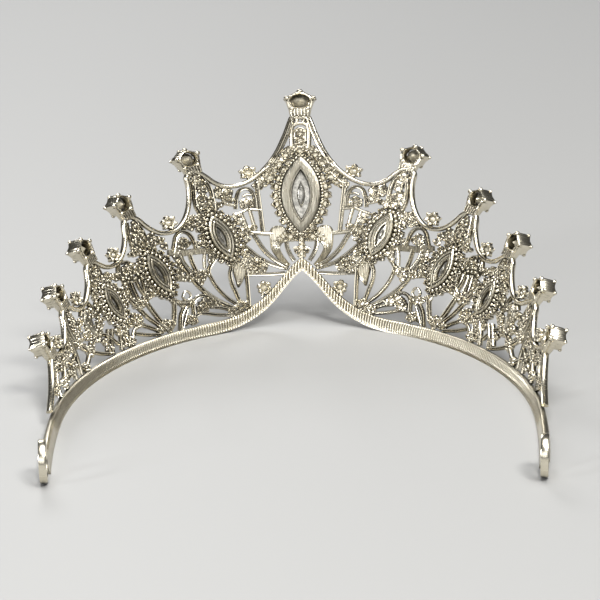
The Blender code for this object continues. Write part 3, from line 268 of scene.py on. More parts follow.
# Ribbon loops: height of the middle, half height, half length, wire, offset; GAP is the solder line.
LOOP_MID, LOOP_UP, LOOP_LONG, LOOP_WIRE, LOOP_OFFSET, GAP = 5.3, 5.2, 4.9, 1.5, 0.5, 0.2

FLOOR_Z, FLOOR_HALF = -0.00003, 6.0          # metres
LIGHT_AIM = (0, 0, 0.03)                     # metres

# Camera from the perspective of the base curve: distance and aim (x, z) in millimetres, angles in degrees.
CAMERA = {"distance": 500.0, "elevation": 17.0, "azimuth": -1.46, "roll": -1.23, "lens": 122.36,
          "aim": (-1.35, 31.49)}

rng = np.random.default_rng(7)


# ---------------------------------------------------------------- the leaning wall
def base_curve():
    """Arc length, plan point and outward normal along half of the base curve."""
    turn = np.linspace(0.0, math.pi / 2, 721)
    back = np.linspace(0.0, LEG, 120)[1:]
    x = np.concatenate([HALF_WIDTH * np.sin(turn), HALF_WIDTH - TOE_IN * (back / LEG) ** 2])
    y = np.concatenate([-FRONT_DEPTH * np.cos(turn), back])
    nx = np.concatenate([np.sin(turn) / HALF_WIDTH, np.ones_like(back)])
    ny = np.concatenate([-np.cos(turn) / FRONT_DEPTH, 2 * TOE_IN * back / LEG ** 2])
    size = np.hypot(nx, ny)
    run = np.concatenate([[0.0], np.cumsum(np.hypot(np.diff(x), np.diff(y)))])
    return run, x, y, nx / size, ny / size


RUN, CURVE_X, CURVE_Y, CURVE_NX, CURVE_NY = base_curve()
LEAN_OUT, LEAN_UP = math.sin(math.radians(FLARE)), math.cos(math.radians(FLARE))


def wall(points):
    """Flat points (run, height, offset) bent onto the wall, in metres."""
    s, h, o = points[:, 0], points[:, 1], points[:, 2]
    side = np.where(s >= 0, 1.0, -1.0)
    k = np.abs(s)
    out = h * LEAN_OUT + o * LEAN_UP
    x = np.interp(k, RUN, CURVE_X) + np.interp(k, RUN, CURVE_NX) * out
    y = np.interp(k, RUN, CURVE_Y) + np.interp(k, RUN, CURVE_NY) * out
    return np.stack([side * x, y + PLAN_Y, h * LEAN_UP - o * LEAN_OUT], axis=1) * MM


def smooth(points, step):
    """Evenly spaced samples of a smooth curve through control points of any dimension."""
    pts = np.array(points, float)
    if len(pts) > 2:
        ends = np.vstack([2 * pts[0] - pts[1], pts, 2 * pts[-1] - pts[-2]])
        t = np.linspace(0, 1, 16, endpoint=False)[:, None]
        parts = []
        for i in range(1, len(ends) - 2):
            a, b, c, d = ends[i - 1], ends[i], ends[i + 1], ends[i + 2]
            parts.append(0.5 * (2 * b + (c - a) * t + (2 * a - 5 * b + 4 * c - d) * t ** 2
                                + (3 * b - a - 3 * c + d) * t ** 3))
        pts = np.vstack(parts + [pts[-1:]])
    run = np.concatenate([[0], np.cumsum(np.linalg.norm(np.diff(pts[:, :2], axis=0), axis=1))])
    count = max(2, int(round(run[-1] / step)) + 1)
    at = np.linspace(0, run[-1], count)
    return np.stack([np.interp(at, run, pts[:, i]) for i in range(pts.shape[1])], axis=1)


def across(line):
    """Unit normals of an open line in the flat pattern."""
    tangent = np.gradient(line[:, :2], axis=0)
    tangent /= np.linalg.norm(tangent, axis=1, keepdims=True)
    return np.stack([-tangent[:, 1], tangent[:, 0]], axis=1)


# ---------------------------------------------------------------- collecting skins
class Shape:
    """Closed skins in flat coordinates, with a material slot and a grain coordinate for each."""

    def __init__(self):
        self.points, self.grain, self.faces, self.slots, self.count = [], [], [], [], 0

    def add(self, points, faces, slot=0, grain=None):
        points = np.asarray(points, float)
        self.points.append(points)
        self.grain.append(points[:, :2] if grain is None else np.asarray(grain, float))
        start = self.count
        self.count += len(points)
        self.join(start, faces, slot)
        return start

    def join(self, start, faces, slot):
        """More faces over points already added."""
        self.faces += [[i + start for i in face] for face in faces]
        self.slots += [slot] * len(faces)

    def loft(self, rings, slot=0, loop=False, caps=True, grain=None):
        """Skin over an array of rings (rings, points, 3)."""
        rings = np.asarray(rings, float)
        m, n = rings.shape[:2]
        faces = []
        for i in range(m if loop else m - 1):
            a, b = i * n, ((i + 1) % m) * n
            faces += [[a + j, a + (j + 1) % n, b + (j + 1) % n, b + j] for j in range(n)]
        if caps and not loop:
            faces += [list(range(n))[::-1], [(m - 1) * n + j for j in range(n)]]
        self.add(rings.reshape(-1, 3), faces, slot, None if grain is None else grain.reshape(-1, 2))

    def make(self, name, materials, sign=1, angle=38.0, flat=False, bend=True):
        """The object, on the +X half or its mirror image."""
        points = np.vstack(self.points) * np.array([sign, 1.0, 1.0])
        points = wall(points) if bend else points * MM
        faces = self.faces if sign > 0 else [face[::-1] for face in self.faces]
        mesh = bpy.data.meshes.new(name)
        mesh.from_pydata(points.tolist(), [], faces)
        mesh.update()
        grain = np.vstack(self.grain)
        layer = mesh.uv_layers.new(name="grain")
        corners = np.empty(len(mesh.loops), np.int32)
        mesh.loops.foreach_get("vertex_index", corners)
        layer.data.foreach_set("uv", (grain[corners] * 0.1).astype(np.float32).ravel())
        mesh.polygons.foreach_set("material_index", np.array(self.slots, np.int32))
        for material in materials:
            mesh.materials.append(material)
        mesh.polygons.foreach_set("use_smooth", np.full(len(mesh.polygons), not flat))
        if not flat:
            mesh.set_sharp_from_angle(angle=math.radians(angle))
        obj = bpy.data.objects.new(name, mesh)
        bpy.context.collection.objects.link(obj)
        return obj


def ring_profile(points):
    """Closed profile from its upper half, mirrored."""
    upper = list(points)
    lower = [(x, -y) for x, y in reversed(upper[1:-1])]
    return np.array(upper + lower)


ROUND = ring_profile([(math.cos(a), math.sin(a)) for a in np.linspace(math.pi, 0, 7)])
DOUBLE = ring_profile([(-1, 0), (-0.94, 0.62), (-0.68, 0.98), (-0.36, 0.86), (-0.12, 0.3), (0.12, 0.3),
                       (0.36, 0.86), (0.68, 0.98), (0.94, 0.62), (1, 0)])
ROUND_WIDE = ring_profile([(math.cos(a), math.sin(a)) for a in np.linspace(math.pi, 0, 10)])
FLUTES = [(-0.8 + 1.6 * i / 12, 0.92 - 0.16 * (i % 2)) for i in range(13)]
FLUTED = ring_profile([(-1, 0), (-0.92, 0.6)] + FLUTES + [(0.92, 0.6), (1, 0)])
PROFILES = {"r": ROUND, "d": DOUBLE, "f": FLUTED}


def swept(line, side, u, offset):
    """Rings along a line, from distances across it and offsets."""
    return np.stack([line[:, None, 0] + side[:, None, 0] * u, line[:, None, 1] + side[:, None, 1] * u, offset],
                    axis=2)


def rib(shape, style, width, path, depth=1.25, offset=0.0, step=0.45, slot=0):
    """Bar of a named profile along a path; a path with widths overrides the width."""
    line = smooth(path, step)
    side = across(line)
    widths = line[:, 2] if line.shape[1] > 2 else np.full(len(line), width * (1.22 if width > 0.7 else 1.1))
    profile = PROFILES[style]
    u = profile[None, :, 0] * widths[:, None] / 2
    shape.loft(swept(line, side, u, np.broadcast_to(profile[None, :, 1] * depth / 2 + offset, u.shape)), slot)


def local(s, h, lean, u, v, o):
    """Local across, along and offset arrays of a leaning axis, as flat points."""
    c, d = math.cos(math.radians(lean)), math.sin(math.radians(lean))
    return np.stack([s + u * c + v * d, h - u * d + v * c, np.broadcast_to(o, np.shape(u))], axis=-1)


def spot(s, h, lean, u, v):
    """One local point (across, along) of a leaning axis, as run and height."""
    return local(s, h, lean, np.array([u]), np.array([v]), 0.0)[0, :2]


def ball(shape, s, h, o, radius):
    """Small bead."""
    rings = []
    a = np.linspace(0, 2 * math.pi, 8, endpoint=False)
    for b in np.linspace(-math.pi / 2 + 0.35, math.pi / 2 - 0.35, 5):
        rings.append(np.stack([s + radius * math.cos(b) * np.cos(a), h + radius * math.cos(b) * np.sin(a),
                               np.full(8, o + radius * math.sin(b))], axis=1))
    shape.loft(rings)


def star_cup(shape, gems, s, h, radius, petals=5, turn=None, offset=0.0, pierced=False):
    """Little star-shaped cup: beaded lobes round a dimple (or a pierced back) and a stone at its front."""
    turn = rng.uniform(0, 2 * math.pi) if turn is None else turn
    count = petals * (8 if radius > 1.5 else 6 if radius > 0.9 else 5)
    a = np.linspace(0, 2 * math.pi, count, endpoint=False)
    phase = (a * petals / (2 * math.pi) + 0.5) % 1.0 - 0.5
    phi = phase * 2 * math.pi / petals
    lobe = 0.5 + 0.5 * np.cos(2 * math.pi * phase)
    petal = 0.58 if petals == 5 else 0.63
    reach = petal * np.cos(phi) + np.sqrt((1 - petal) ** 2 - (petal * np.sin(phi)) ** 2 * 0.98)
    # Share of the radius, level, how far the outline follows the lobes, and how far they swell.
    levels = [(1.0, 0.10, 1.0, 0.0), (0.97, -0.38, 1.0, 0.12), (0.85, -0.50, 0.9, 0.36),
              (0.69, -0.50, 0.5, 0.44), (0.53, -0.42, 0.0, 0.24), (0.40, -0.12, 0.0, 0.0)]
    levels += [(0.40, 0.3, 0.0, 0.0)] if pierced else [(0.03, 0.0, 0.0, 0.0), (0.03, 0.2, 0.0, 0.0)]
    levels += [(0.46, 0.3, 0.0, 0.0), (0.66, 0.56, 0.1, -0.06), (0.86, 0.74, 0.5, -0.16),
               (1.0, 0.5, 1.0, -0.1)]
    thick = min(1.15, 0.55 + 0.45 * radius)
    rings = []
    for share, level, star, swell in levels:
        r = radius * share * (1 - star * (1 - reach))
        rings.append(np.stack([s + r * np.cos(a + turn), h + r * np.sin(a + turn),
                               offset + (level - swell * lobe) * thick], axis=1))
    shape.loft(rings, loop=True)
    if gems is not None:
        gem(gems, s, h, offset + 0.42, radius * 0.60, 7, turn)


def web(shape, s, h, radius):
    """Thin rounded disc that backs a cluster of cups, with grains on both faces."""
    start = rng.uniform(0, 1)
    grains = max(3, int(radius * 3.4))
    for i in range(grains):
        b = start + 2 * math.pi * i / grains
        size = rng.uniform(0.38, 0.52)
        for level in (-0.28, 0.28):
            ball(shape, s + (radius - 0.3) * math.cos(b), h + (radius - 0.3) * math.sin(b), level, size)
    a = np.linspace(0, 2 * math.pi, 16, endpoint=False)
    rim = ((0.3, -0.36), (0.06, -0.28), (0, -0.1), (0, 0.1), (0.06, 0.28), (0.3, 0.36))
    shape.loft([np.stack([s + (radius - inset) * np.cos(a), h + (radius - inset) * np.sin(a),
                          np.full(16, level)], axis=1) for inset, level in rim])


def gem(shape, s, h, o, radius, sides=8, turn=0.0, lean=0, depth=0.85):
    """Round cut stone: table, crown facets and girdle, with a foiled cone behind in the second material."""
    a = turn + np.linspace(0, 2 * math.pi, sides, endpoint=False)
    half = math.pi / sides
    rings = []
    for share, level, shift in ((0.55, 0.42, half), (0.86, 0.24, 0.0), (1.0, 0.0, half), (0.98, -0.06, half)):
        rings.append(local(s, h, lean, radius * share * np.cos(a + shift), radius * share * np.sin(a + shift),
                           o + radius * level))
    rings.append(local(s, h, lean, np.array([0.0]), np.array([0.0]), o - radius * depth))
    n = sides
    crown, cone = [list(range(n))[::-1]], []
    for i in range(n):
        k = (i + 1) % n
        crown += [[k, n + k, i], [n + k, n + i, i], [n + k, 2 * n + i, n + i], [2 * n + k, 2 * n + i, n + k],
                  [2 * n + k, 3 * n + k, 3 * n + i, 2 * n + i]]
        cone += [[4 * n, 3 * n + i, 3 * n + k]]
    start = shape.add(np.vstack(rings), crown)
    shape.join(start, cone, 1)


def side_arc(length, width):
    """Radius and half angle of each side of a pointed oval."""
    radius = (length ** 2 + width ** 2) / (2 * width)
    return radius, math.asin(min(1.0, length / radius))


def stations(length, width, spacing):
    """Evenly spaced points (across, along) in pairs on the two sides of a pointed oval."""
    radius, sweep = side_arc(length, width)
    count = int(round(2 * sweep * radius / spacing))
    for i in range(count):
        a = -sweep + 2 * sweep * (i + 0.5) / count
        u, v = radius * math.cos(a) - radius + width, radius * math.sin(a)
        yield u, v
        yield -u, v


def marquise(length, width, half):
    """Pointed oval (across, along), evenly sampled from its lower tip."""
    radius, sweep = side_arc(length, width)
    a = np.linspace(-sweep, sweep, half, endpoint=False)
    right = np.stack([radius * np.cos(a) - radius + width, radius * np.sin(a)], axis=1)
    return np.vstack([right, -right])


# ---------------------------------------------------------------- materials
def new_material(name):
    mat = bpy.data.materials.new(name)
    mat.use_nodes = True
    return mat, mat.node_tree.nodes["Principled BSDF"]


def noise(mat, vector, scale, detail=2.0):
    """Noise over a vector socket."""
    node = mat.node_tree.nodes.new("ShaderNodeTexNoise")
    node.inputs["Scale"].default_value = scale
    node.inputs["Detail"].default_value = detail
    mat.node_tree.links.new(vector, node.inputs["Vector"])
    return node.outputs["Fac"]


def ramp(mat, factor, low, high):
    """Colour ramp over a factor socket, from two stops of (position, colour)."""
    node = mat.node_tree.nodes.new("ShaderNodeValToRGB")
    for stop, (position, colour) in zip(node.color_ramp.elements, (low, high)):
        stop.position = position
        stop.color = (*colour, 1.0)
    mat.node_tree.links.new(factor, node.inputs["Fac"])
    return node.outputs["Color"]


def metal(name, bright, painted_shade, rough, bump_scale, bump, streak=None):
    """Plated metal: soft colour variation, painted shade that darkens its recesses by ambient occlusion, fine cast or
    brushed relief.
    """
    mat, shader = new_material(name)
    nodes, link = mat.node_tree.nodes, mat.node_tree.links.new
    shader.inputs["Metallic"].default_value = 1.0
    coord = nodes.new("ShaderNodeUVMap")
    coord.uv_map = "grain"
    place = nodes.new("ShaderNodeMapping")
    place.inputs["Scale"].default_value = (*streak, 1.0) if streak else (10.0, 10.0, 10.0)
    link(coord.outputs["UV"], place.inputs["Vector"])
    fine = noise(mat, place.outputs["Vector"], bump_scale, 3.0)
    relief = nodes.new("ShaderNodeBump")
    relief.inputs["Strength"].default_value = bump
    relief.inputs["Distance"].default_value = 0.00012
    link(fine, relief.inputs["Height"])
    link(relief.outputs["Normal"], shader.inputs["Normal"])
    # Painted shade: ambient occlusion within 1.6 mm blends the base colour from the plate colour down to a near-black
    # shade colour in recesses and between parts.
    painted_shade_ao = nodes.new("ShaderNodeAmbientOcclusion")
    painted_shade_ao.samples = 6
    painted_shade_ao.inputs["Distance"].default_value = 0.0016
    plate = ramp(mat, painted_shade_ao.outputs["AO"], (0.28, painted_shade), (0.92, bright))
    if streak:
        patch = noise(mat, place.outputs["Vector"], 1.3, 4.0)
    else:
        patch = noise(mat, coord.outputs["UV"], 3.0, 4.0)
    tone = nodes.new("ShaderNodeMix")
    tone.data_type = "RGBA"
    tone.blend_type = "MULTIPLY"
    tone.inputs[0].default_value = 1.0
    shade = (0.50, 0.49, 0.46) if streak else (0.84, 0.83, 0.79)
    link(plate, tone.inputs[6])
    link(ramp(mat, patch, (0.3, shade), (0.7, (1.0, 1.0, 1.0))), tone.inputs[7])
    link(tone.outputs[2], shader.inputs["Base Color"])
    gloss = nodes.new("ShaderNodeMapRange")
    gloss.inputs["To Min"].default_value = rough * 0.75
    gloss.inputs["To Max"].default_value = rough * 1.35
    link(fine, gloss.inputs["Value"])
    link(gloss.outputs["Result"], shader.inputs["Roughness"])
    return mat


def crystal(name, tint):
    """Clear cut stone."""
    mat, shader = new_material(name)
    shader.inputs["Base Color"].default_value = (*tint, 1.0)
    shader.inputs["Roughness"].default_value = 0.02
    shader.inputs["IOR"].default_value = 1.58
    shader.inputs["Transmission Weight"].default_value = 0.92
    return mat


def foil(name, colour, rough, metallic):
    """Mirror foil on a stone's back, slightly mottled."""
    mat, shader = new_material(name)
    shader.inputs["Metallic"].default_value = metallic
    where = mat.node_tree.nodes.new("ShaderNodeTexCoord")
    mottle = noise(mat, where.outputs["Object"], 900.0)
    tint = ramp(mat, mottle, (0.35, [c * 0.5 for c in colour]), (0.65, colour))
    mat.node_tree.links.new(tint, shader.inputs["Base Color"])
    shader.inputs["Roughness"].default_value = rough
    return mat


# The second colour of each metal is painted shade, laid into its recesses by ambient occlusion.
SILVER = metal("silver_plate", (0.78, 0.73, 0.605), (0.08, 0.068, 0.046), 0.24, 2.2, 0.2)
RIBBED = metal("ribbed_plate", (0.68, 0.635, 0.525), (0.08, 0.068, 0.046), 0.30, 2.2, 0.1)
BRUSHED = metal("brushed_plate", (0.47, 0.44, 0.365), (0.10, 0.09, 0.07), 0.28, 2.0, 1.0,
                (30.0, 1.4))
SATIN = metal("satin_plate", (0.80, 0.75, 0.62), (0.10, 0.088, 0.062), 0.27, 2.0, 0.6, (20.0, 1.4))
STONE = crystal("crystal", (0.97, 0.97, 0.95))
GOLD_FOIL = foil("foil_gold", (0.95, 0.89, 0.72), 0.20, 0.4)
GREY_FOIL = foil("foil_grey", (0.47, 0.455, 0.41), 0.24, 0.75)


# ---------------------------------------------------------------- pieces
def keep(obj, slot, *nodes):
    """Every piece rides on the one body; the slot argument is not used."""
    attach(obj, "root")
    if nodes:
        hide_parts(*nodes)
    return obj


def band():
    """Ribbon with fine upright ribs on both faces, a V peak and a narrow smooth edge at its foot."""
    end = RUN[-1]
    steps = int(end / RIB_PITCH * RIB_SAMPLES)
    s = np.linspace(-end, end, 2 * steps + 1)
    run = np.abs(s)
    low, top = (np.interp(run, *zip(*edge)) for edge in (BAND_LOW, BAND_TOP))
    tall = top - low
    foot = BAND_HALF * math.tan(math.radians(FLARE))
    fade = np.clip((RIB_END - run) / RIB_FADE, 0.0, 1.0)
    groove = RIB_DEPTH * fade * (0.5 - 0.5 * np.cos(2 * math.pi * s / RIB_PITCH)) ** 2.2
    # Share of the height and of the groove's depth, up the inner face and down the outer one.
    inner = ((0.06, 0.0), (0.14, 0.8), (0.3, 1.0), (0.6, 1.0), (0.86, 1.0))
    outer = ((0.86, 1.0), (0.6, 1.0), (0.3, 1.0), (0.19, 0.8), (0.12, 0.0))
    rows = [(low - foot, -BAND_HALF)]
    rows += [(low + tall * share, -BAND_HALF + groove * part) for share, part in inner]
    rows += [(top - 0.1, -BAND_HALF * 0.72 + groove * 0.6), (top, -BAND_HALF * 0.35),
             (top, BAND_HALF * 0.35), (top - 0.1, BAND_HALF * 0.72 - groove * 0.6)]
    rows += [(low + tall * share, BAND_HALF - groove * part) for share, part in outer]
    rows += [(low + foot, BAND_HALF)]
    shape = Shape()
    shape.loft(np.stack([np.stack(np.broadcast_arrays(s, h, o), axis=1) for h, o in rows], axis=1))
    return keep(shape.make("base_band", [RIBBED], angle=50), "silver_plate", "base_band")


def crest(side, sign):
    """Round wire over all the spires; beside the tall centre spire it is broader and grooved."""
    shape = Shape()
    line = smooth(CREST, 0.4)
    grooved = np.interp(line[:, 0], [5.0, 8.5], [1.0, 0.0])[:, None, None]
    width = np.interp(line[:, 0], *zip(*CREST_WIDTH))[:, None]
    profile = DOUBLE[None] * grooved + ROUND_WIDE[None] * (1 - grooved)
    shape.loft(swept(line, across(line), profile[:, :, 0] * width / 2, profile[:, :, 1] * CREST_DEPTH))
    return keep(shape.make(f"crest_rail_{side}", [SILVER], sign), "silver_plate", f"crest_rail_{side}")


def loop(side, sign):
    """Flat-sided ring with softened edges."""
    slope = math.atan2(CURVE_NY[-1], CURVE_NX[-1])
    along, out = (-math.sin(slope), math.cos(slope)), (math.cos(slope), math.sin(slope))
    a = np.linspace(0, 2 * math.pi, 64, endpoint=False)
    # Share of the wire's width and level, round its section.
    edge = [(0.0, -0.62), (0.1, -0.9), (0.9, -0.9), (1.0, -0.62), (1.0, 0.62), (0.9, 0.9), (0.1, 0.9),
            (0.0, 0.62)]
    rings = []
    for share, level in edge:
        run = GAP + LOOP_LONG + (LOOP_LONG - LOOP_WIRE * share) * np.cos(a)
        off = level + LOOP_OFFSET
        rings.append(np.stack([CURVE_X[-1] + along[0] * run + out[0] * off,
                               CURVE_Y[-1] + along[1] * run + out[1] * off + PLAN_Y,
                               LOOP_MID + (LOOP_UP - LOOP_WIRE * share) * np.sin(a)], axis=1))
    shape = Shape()
    shape.loft(rings, loop=True, grain=np.stack(rings)[:, :, 1:])
    name = f"ribbon_loop_{side}"
    return keep(shape.make(name, [SILVER], sign, bend=False), "silver_plate", name)


def wreath(shape, gems, index):
    """Marquise seat ring with star cups round it and beads between them and the bezel."""
    s, h, lean, length, width, _, _, long_out, wide_out = MEDALLIONS[index]
    big = index == 0
    inner, outer = (length - 0.3, width - 0.3), (long_out, wide_out + 0.2)
    section = ((0, -0.25), (0.1, -0.42), (0.9, -0.36), (1, -0.1), (1, 0.1), (0.9, 0.36), (0.1, 0.42), (0, 0.25))
    rings = []
    for share, level in section:
        oval = marquise(*(a + (b - a) * share for a, b in zip(inner, outer)), 24)
        rings.append(local(s, h, lean, oval[:, 0], oval[:, 1], level))
    shape.loft(rings, loop=True)
    radius = WREATH_CUP[big]
    long_half, wide_half = (length + 1.15, width + 1.4) if big else (length + 1.3, width + 1.95)
    for u, v in stations(long_half, wide_half, 1.93 * radius):
        star_cup(shape, gems, *spot(s, h, lean, u, v), radius * rng.uniform(0.94, 1.05))
    long_half, wide_half = (length + 0.45, width + 0.4) if big else (length + 0.55, width + 0.6)
    grain = 0.42 if big else 0.6
    for u, v in stations(long_half, wide_half, 2.2 * grain):
        ball(shape, *spot(s, h, lean, u, v), -0.6, grain)
        ball(shape, *spot(s, h, lean, u, v), 0.75, grain * 0.9)


def openwork(name, sign, ribs, webs, cups, index=None):
    """Ribs, webs and star cups of one plate, with its small stones."""
    shape, gems = Shape(), Shape()
    for s, h, radius in webs:
        web(shape, s, h, radius)
    for i, (style, width, path) in enumerate(ribs):
        rib(shape, style, width, path, PLATE_DEPTH[style], 0.04 * (i % 3 - 1), slot=1 if style == "f" else 0)
    if index is not None:
        wreath(shape, gems, index)
    for s, h, radius in cups:
        star_cup(shape, gems, s, h, radius, 6 if radius > 1.2 else 5)
    keep(shape.make(name, [SILVER, SATIN], sign), "silver_plate", name)
    keep(gems.make(name + "_stones", [STONE, GOLD_FOIL], sign, flat=True), "crystal")


def bezel(name, index, sign):
    """Broad-backed pointed collar; the centre one is flat and brushed, the others carry two ridges."""
    s, h, lean, length, width, open_l, open_w = MEDALLIONS[index][:7]
    if index == 0:
        section = [(length, width, -0.5), (length - 0.12, width - 0.08, -0.95),
                   (length - 0.6, width - 0.3, -1.14), ((length + open_l) / 2, (width + open_w) / 2, -1.3)]
        section += [(open_l + long_in, open_w + wide_in, level) for long_in, wide_in, level in (
            (0.95, 0.42, -1.22), (0.8, 0.34, -1.08), (0.6, 0.26, -1.1), (0.45, 0.2, -1.26), (0.1, 0.05, -1.24),
            (0, 0, -1.05), (-0.1, -0.08, -0.35))]
        lip = ((1.5, 0.8, 0.6), (1.1, 0.6, 1.7), (0.7, 0.4, 1.95), (0.1, 0.05, 1.7), (0, 0, 1.0))
    else:
        a, b = length - open_l, width - open_w
        section = [(length - share * a, width - share * b, level) for share, level in (
            (0, -0.6), (0.03, -1.05), (0.12, -1.3), (0.24, -1.38), (0.35, -1.26), (0.4, -1.0), (0.45, -1.0),
            (0.5, -1.26), (0.6, -1.36), (0.7, -1.28), (0.75, -1.02), (0.8, -1.0), (0.86, -1.18),
            (0.94, -1.18), (1.0, -1.0), (1.02, -0.6), (1.02, -0.3))]
        lip = ((1.5, 0.8, 0.6), (1.1, 0.6, 1.7), (0.6, 0.3, 1.95), (0, 0, 1.5))
    section += [(length - long_in, width - wide_in, level) for long_in, wide_in, level in lip]
    shape = Shape()
    ovals = [marquise(long_half, wide_half, 32) for long_half, wide_half, _ in section]
    rings = [local(s, h, lean, oval[:, 0], oval[:, 1], row[2]) for oval, row in zip(ovals, section)]
    shape.loft(rings, loop=True, grain=np.array(ovals))
    metals = [SATIN if index else BRUSHED]
    keep(shape.make(name, metals, sign, angle=32), "brushed_plate", name)


def navette(name, index, sign):
    """Pointed stone: stepped crown, girdle and a keeled foiled back with a kernel."""
    s, h, lean, length, width, open_l, open_w = MEDALLIONS[index][:7]
    girdle = (length - STONE_SEAT[0], width - STONE_SEAT[1])
    shape = Shape()
    half = 8
    levels = [(length - 4.0, width - 2.1, 2.55), (length - 2.8, width - 1.45, 2.2), (*girdle, 1.5),
              (*girdle, STONE_LEDGE)]
    rings = [local(s, h, lean, *marquise(a, max(b, 0.3), half).T, o) for a, b, o in levels]
    shape.loft(rings, 0, caps=False)
    shape.add(rings[0], [list(range(2 * half))], 0)
    half = 24
    back = [local(s, h, lean, *marquise(*girdle, half).T, STONE_LEDGE)]
    back += [local(s, h, lean, *marquise((open_l + 0.1) * share, (open_w + 0.05) * wide, half).T, level)
             for share, wide, level in (
                 (1.0, 1.0, 0.1), (0.93, 0.88, -0.25), (0.84, 0.74, -0.34), (0.52, 0.42, -0.3),
                 (0.4, 0.3, -0.66), (0.28, 0.16, -0.82), (0.2, 0.07, -0.84))]
    shape.loft(back, 1, caps=False)
    shape.add(back[-1], [list(range(2 * half))[::-1]], 1)
    keep(shape.make(name, [STONE, GREY_FOIL], sign, angle=20), "crystal", name)


def head_cup(name, index, sign):
    """Five-clawed cup: pentagon wall with beaded tips, an open back and a fluted heel that grips the rail."""
    s, h, lean, rise = HEADS[index]
    a = math.pi / 2 + np.linspace(0, 2 * math.pi, 120, endpoint=False)
    nearest = np.min(np.abs((a[:, None] - CLAWS[None] + math.pi) % (2 * math.pi) - math.pi), axis=1)
    peak = 0.5 + 0.5 * np.cos(5 * nearest)
    flute = 0.05 * np.cos(20 * (a - math.pi / 2))
    # Level, radius, and how much the claws reach out, rise, and are fluted.
    levels = [(-0.35, 1.9, 0.0, 0.0, 0.0), (-0.95, 1.94, 0.05, 0.0, 0.0), (-1.18, 2.06, 0.14, 0.0, 0.4),
              (-1.08, 2.24, 0.24, 0.0, 1.0), (-0.6, 2.42, 0.3, 0.0, 1.0), (0.2, 2.58, 0.34, 0.0, 1.0),
              (1.1, 2.66, 0.34, 0.0, 1.0), (2.0, 2.66, 0.34, 0.1, 1.0), (2.7, 2.58, 0.34, 0.3, 0.5),
              (3.0, 2.46, 0.3, 0.4, 0.0), (2.85, 2.36, 0.08, 0.4, 0.0), (2.3, 2.3, 0.0, 0.0, 0.0),
              (1.4, 2.0, 0.0, 0.0, 0.0)]
    rings = []
    for level, radius, star, claw, ribbed in levels:
        r = radius + star * peak + flute * ribbed
        rings.append(local(s, h, lean, r * np.cos(a), r * np.sin(a), level + claw * peak))
    shape = Shape()
    shape.loft(rings, loop=True)
    half = [(2.02, -rise), (2.15, -rise + 0.9), (2.32, -2.4), (2.6, -1.2), (2.85, 0.1), (2.4, 0.3),
            (2.1, -0.5), (1.8, -1.3), (1.2, -1.9), (0.45, -2.2)]
    outline = np.array(half + [(-u, v) for u, v in reversed(half)])
    middle = np.array([0.0, -2.6])
    heel = []
    for level, share in ((-1.02, 0.82), (-1.0, 0.9), (-0.7, 0.97), (-0.2, 1.0), (0.5, 1.0), (1.1, 0.95),
                         (1.6, 0.84), (1.85, 0.66)):
        ring = middle + (outline - middle) * share
        slim = np.interp(ring[:, 1], [-rise, -1.8], [0.6, 1.0])
        heel.append(local(s, h, lean, ring[:, 0], ring[:, 1], 0.1 + (level - 0.1) * slim))
    shape.loft(heel)
    for u in (-1.7, -1.0, -0.34, 0.34, 1.0, 1.7):
        top = -0.6 if abs(u) > 1.5 else -1.8 if abs(u) > 0.8 else -2.1
        ends = [spot(s, h, lean, u * 0.98, -rise + 0.25), spot(s, h, lean, u * 1.08, top)]
        rib(shape, "r", 0.42, ends, 0.6, -0.8)
    for b in CLAWS:
        for radius, level, size in ((2.8, 3.1, 0.52), (2.72, -0.72, 0.66)):
            ball(shape, *spot(s, h, lean, radius * math.cos(b), radius * math.sin(b)), level, size)
    keep(shape.make(name, [SILVER], sign), "silver_plate", name)


def head_stone(name, index, sign):
    """Round stone with twelve-fold facets and a gold-foiled cone."""
    s, h, lean, _ = HEADS[index]
    shape = Shape()
    gem(shape, s, h, ROUND_LEVEL, ROUND_STONE, 12, 0.1, lean, ROUND_CONE)
    keep(shape.make(name, [STONE, GOLD_FOIL], sign, flat=True), "crystal", name)


def tips(shape, s, h, radius, turn, level, size):
    """Six beads on the points of a star."""
    for i in range(6):
        b = turn + math.pi * i / 3
        ball(shape, s + radius * math.cos(b), h + radius * math.sin(b), level, size)


def rail_stars(side, sign):
    """Star cups that stand on the crest rail between the spires, with their stones."""
    shape, gems = Shape(), Shape()
    for s, h, radius, lean in RAIL_STARS:
        star_cup(shape, None, s, h, radius, 6, math.radians(90 - lean), 0.2, True)
        gem(gems, s, h, 0.75, radius * 0.66, 10)
        tips(shape, s, h, radius * 0.9, math.radians(90 - lean), 0.9, 0.36)
        tips(shape, s, h, radius * 0.86, math.radians(90 - lean), -0.45, 0.4)
    keep(shape.make(f"rail_stars_{side}", [SILVER], sign), "silver_plate")
    keep(gems.make(f"rail_stones_{side}", [STONE, GOLD_FOIL], sign, flat=True), "crystal")


def band_star(side, sign):
    """Six-point star that stands free on the band's top edge."""
    s, h, radius = BAND_STAR
    shape, gems = Shape(), Shape()
    star_cup(shape, gems, s, h, radius, 6, STAR_TURN, 0.0, True)
    rib(shape, "r", 0.8, [(s + 0.4, h - 1.0), (s + 0.7, h - 2.6)])
    tips(shape, s, h, radius * 0.84, STAR_TURN, -0.4, 0.36)
    keep(shape.make(f"band_star_{side}", [SILVER], sign), "silver_plate", f"band_star_{side}")
    keep(gems.make(f"band_star_{side}_stones", [STONE, GOLD_FOIL], sign, flat=True), "crystal")


def paired(entries):
    """The centre spire's cups or webs, with the mirror image of each one that is right of the middle."""
    return [item for entry in entries for item in ([(-entry[0], *entry[1:])] if entry[0] > 0 else []) + [entry]]


def paired_ribs(ribs):
    """The centre spire's ribs, with the mirror image of each one that starts right of the middle."""
    full = []
    for style, width, path in ribs:
        if path[0][0] > 0:
            full.append((style, width, [(-s, h) for s, h in path]))
        full.append((style, width, path))
    return full


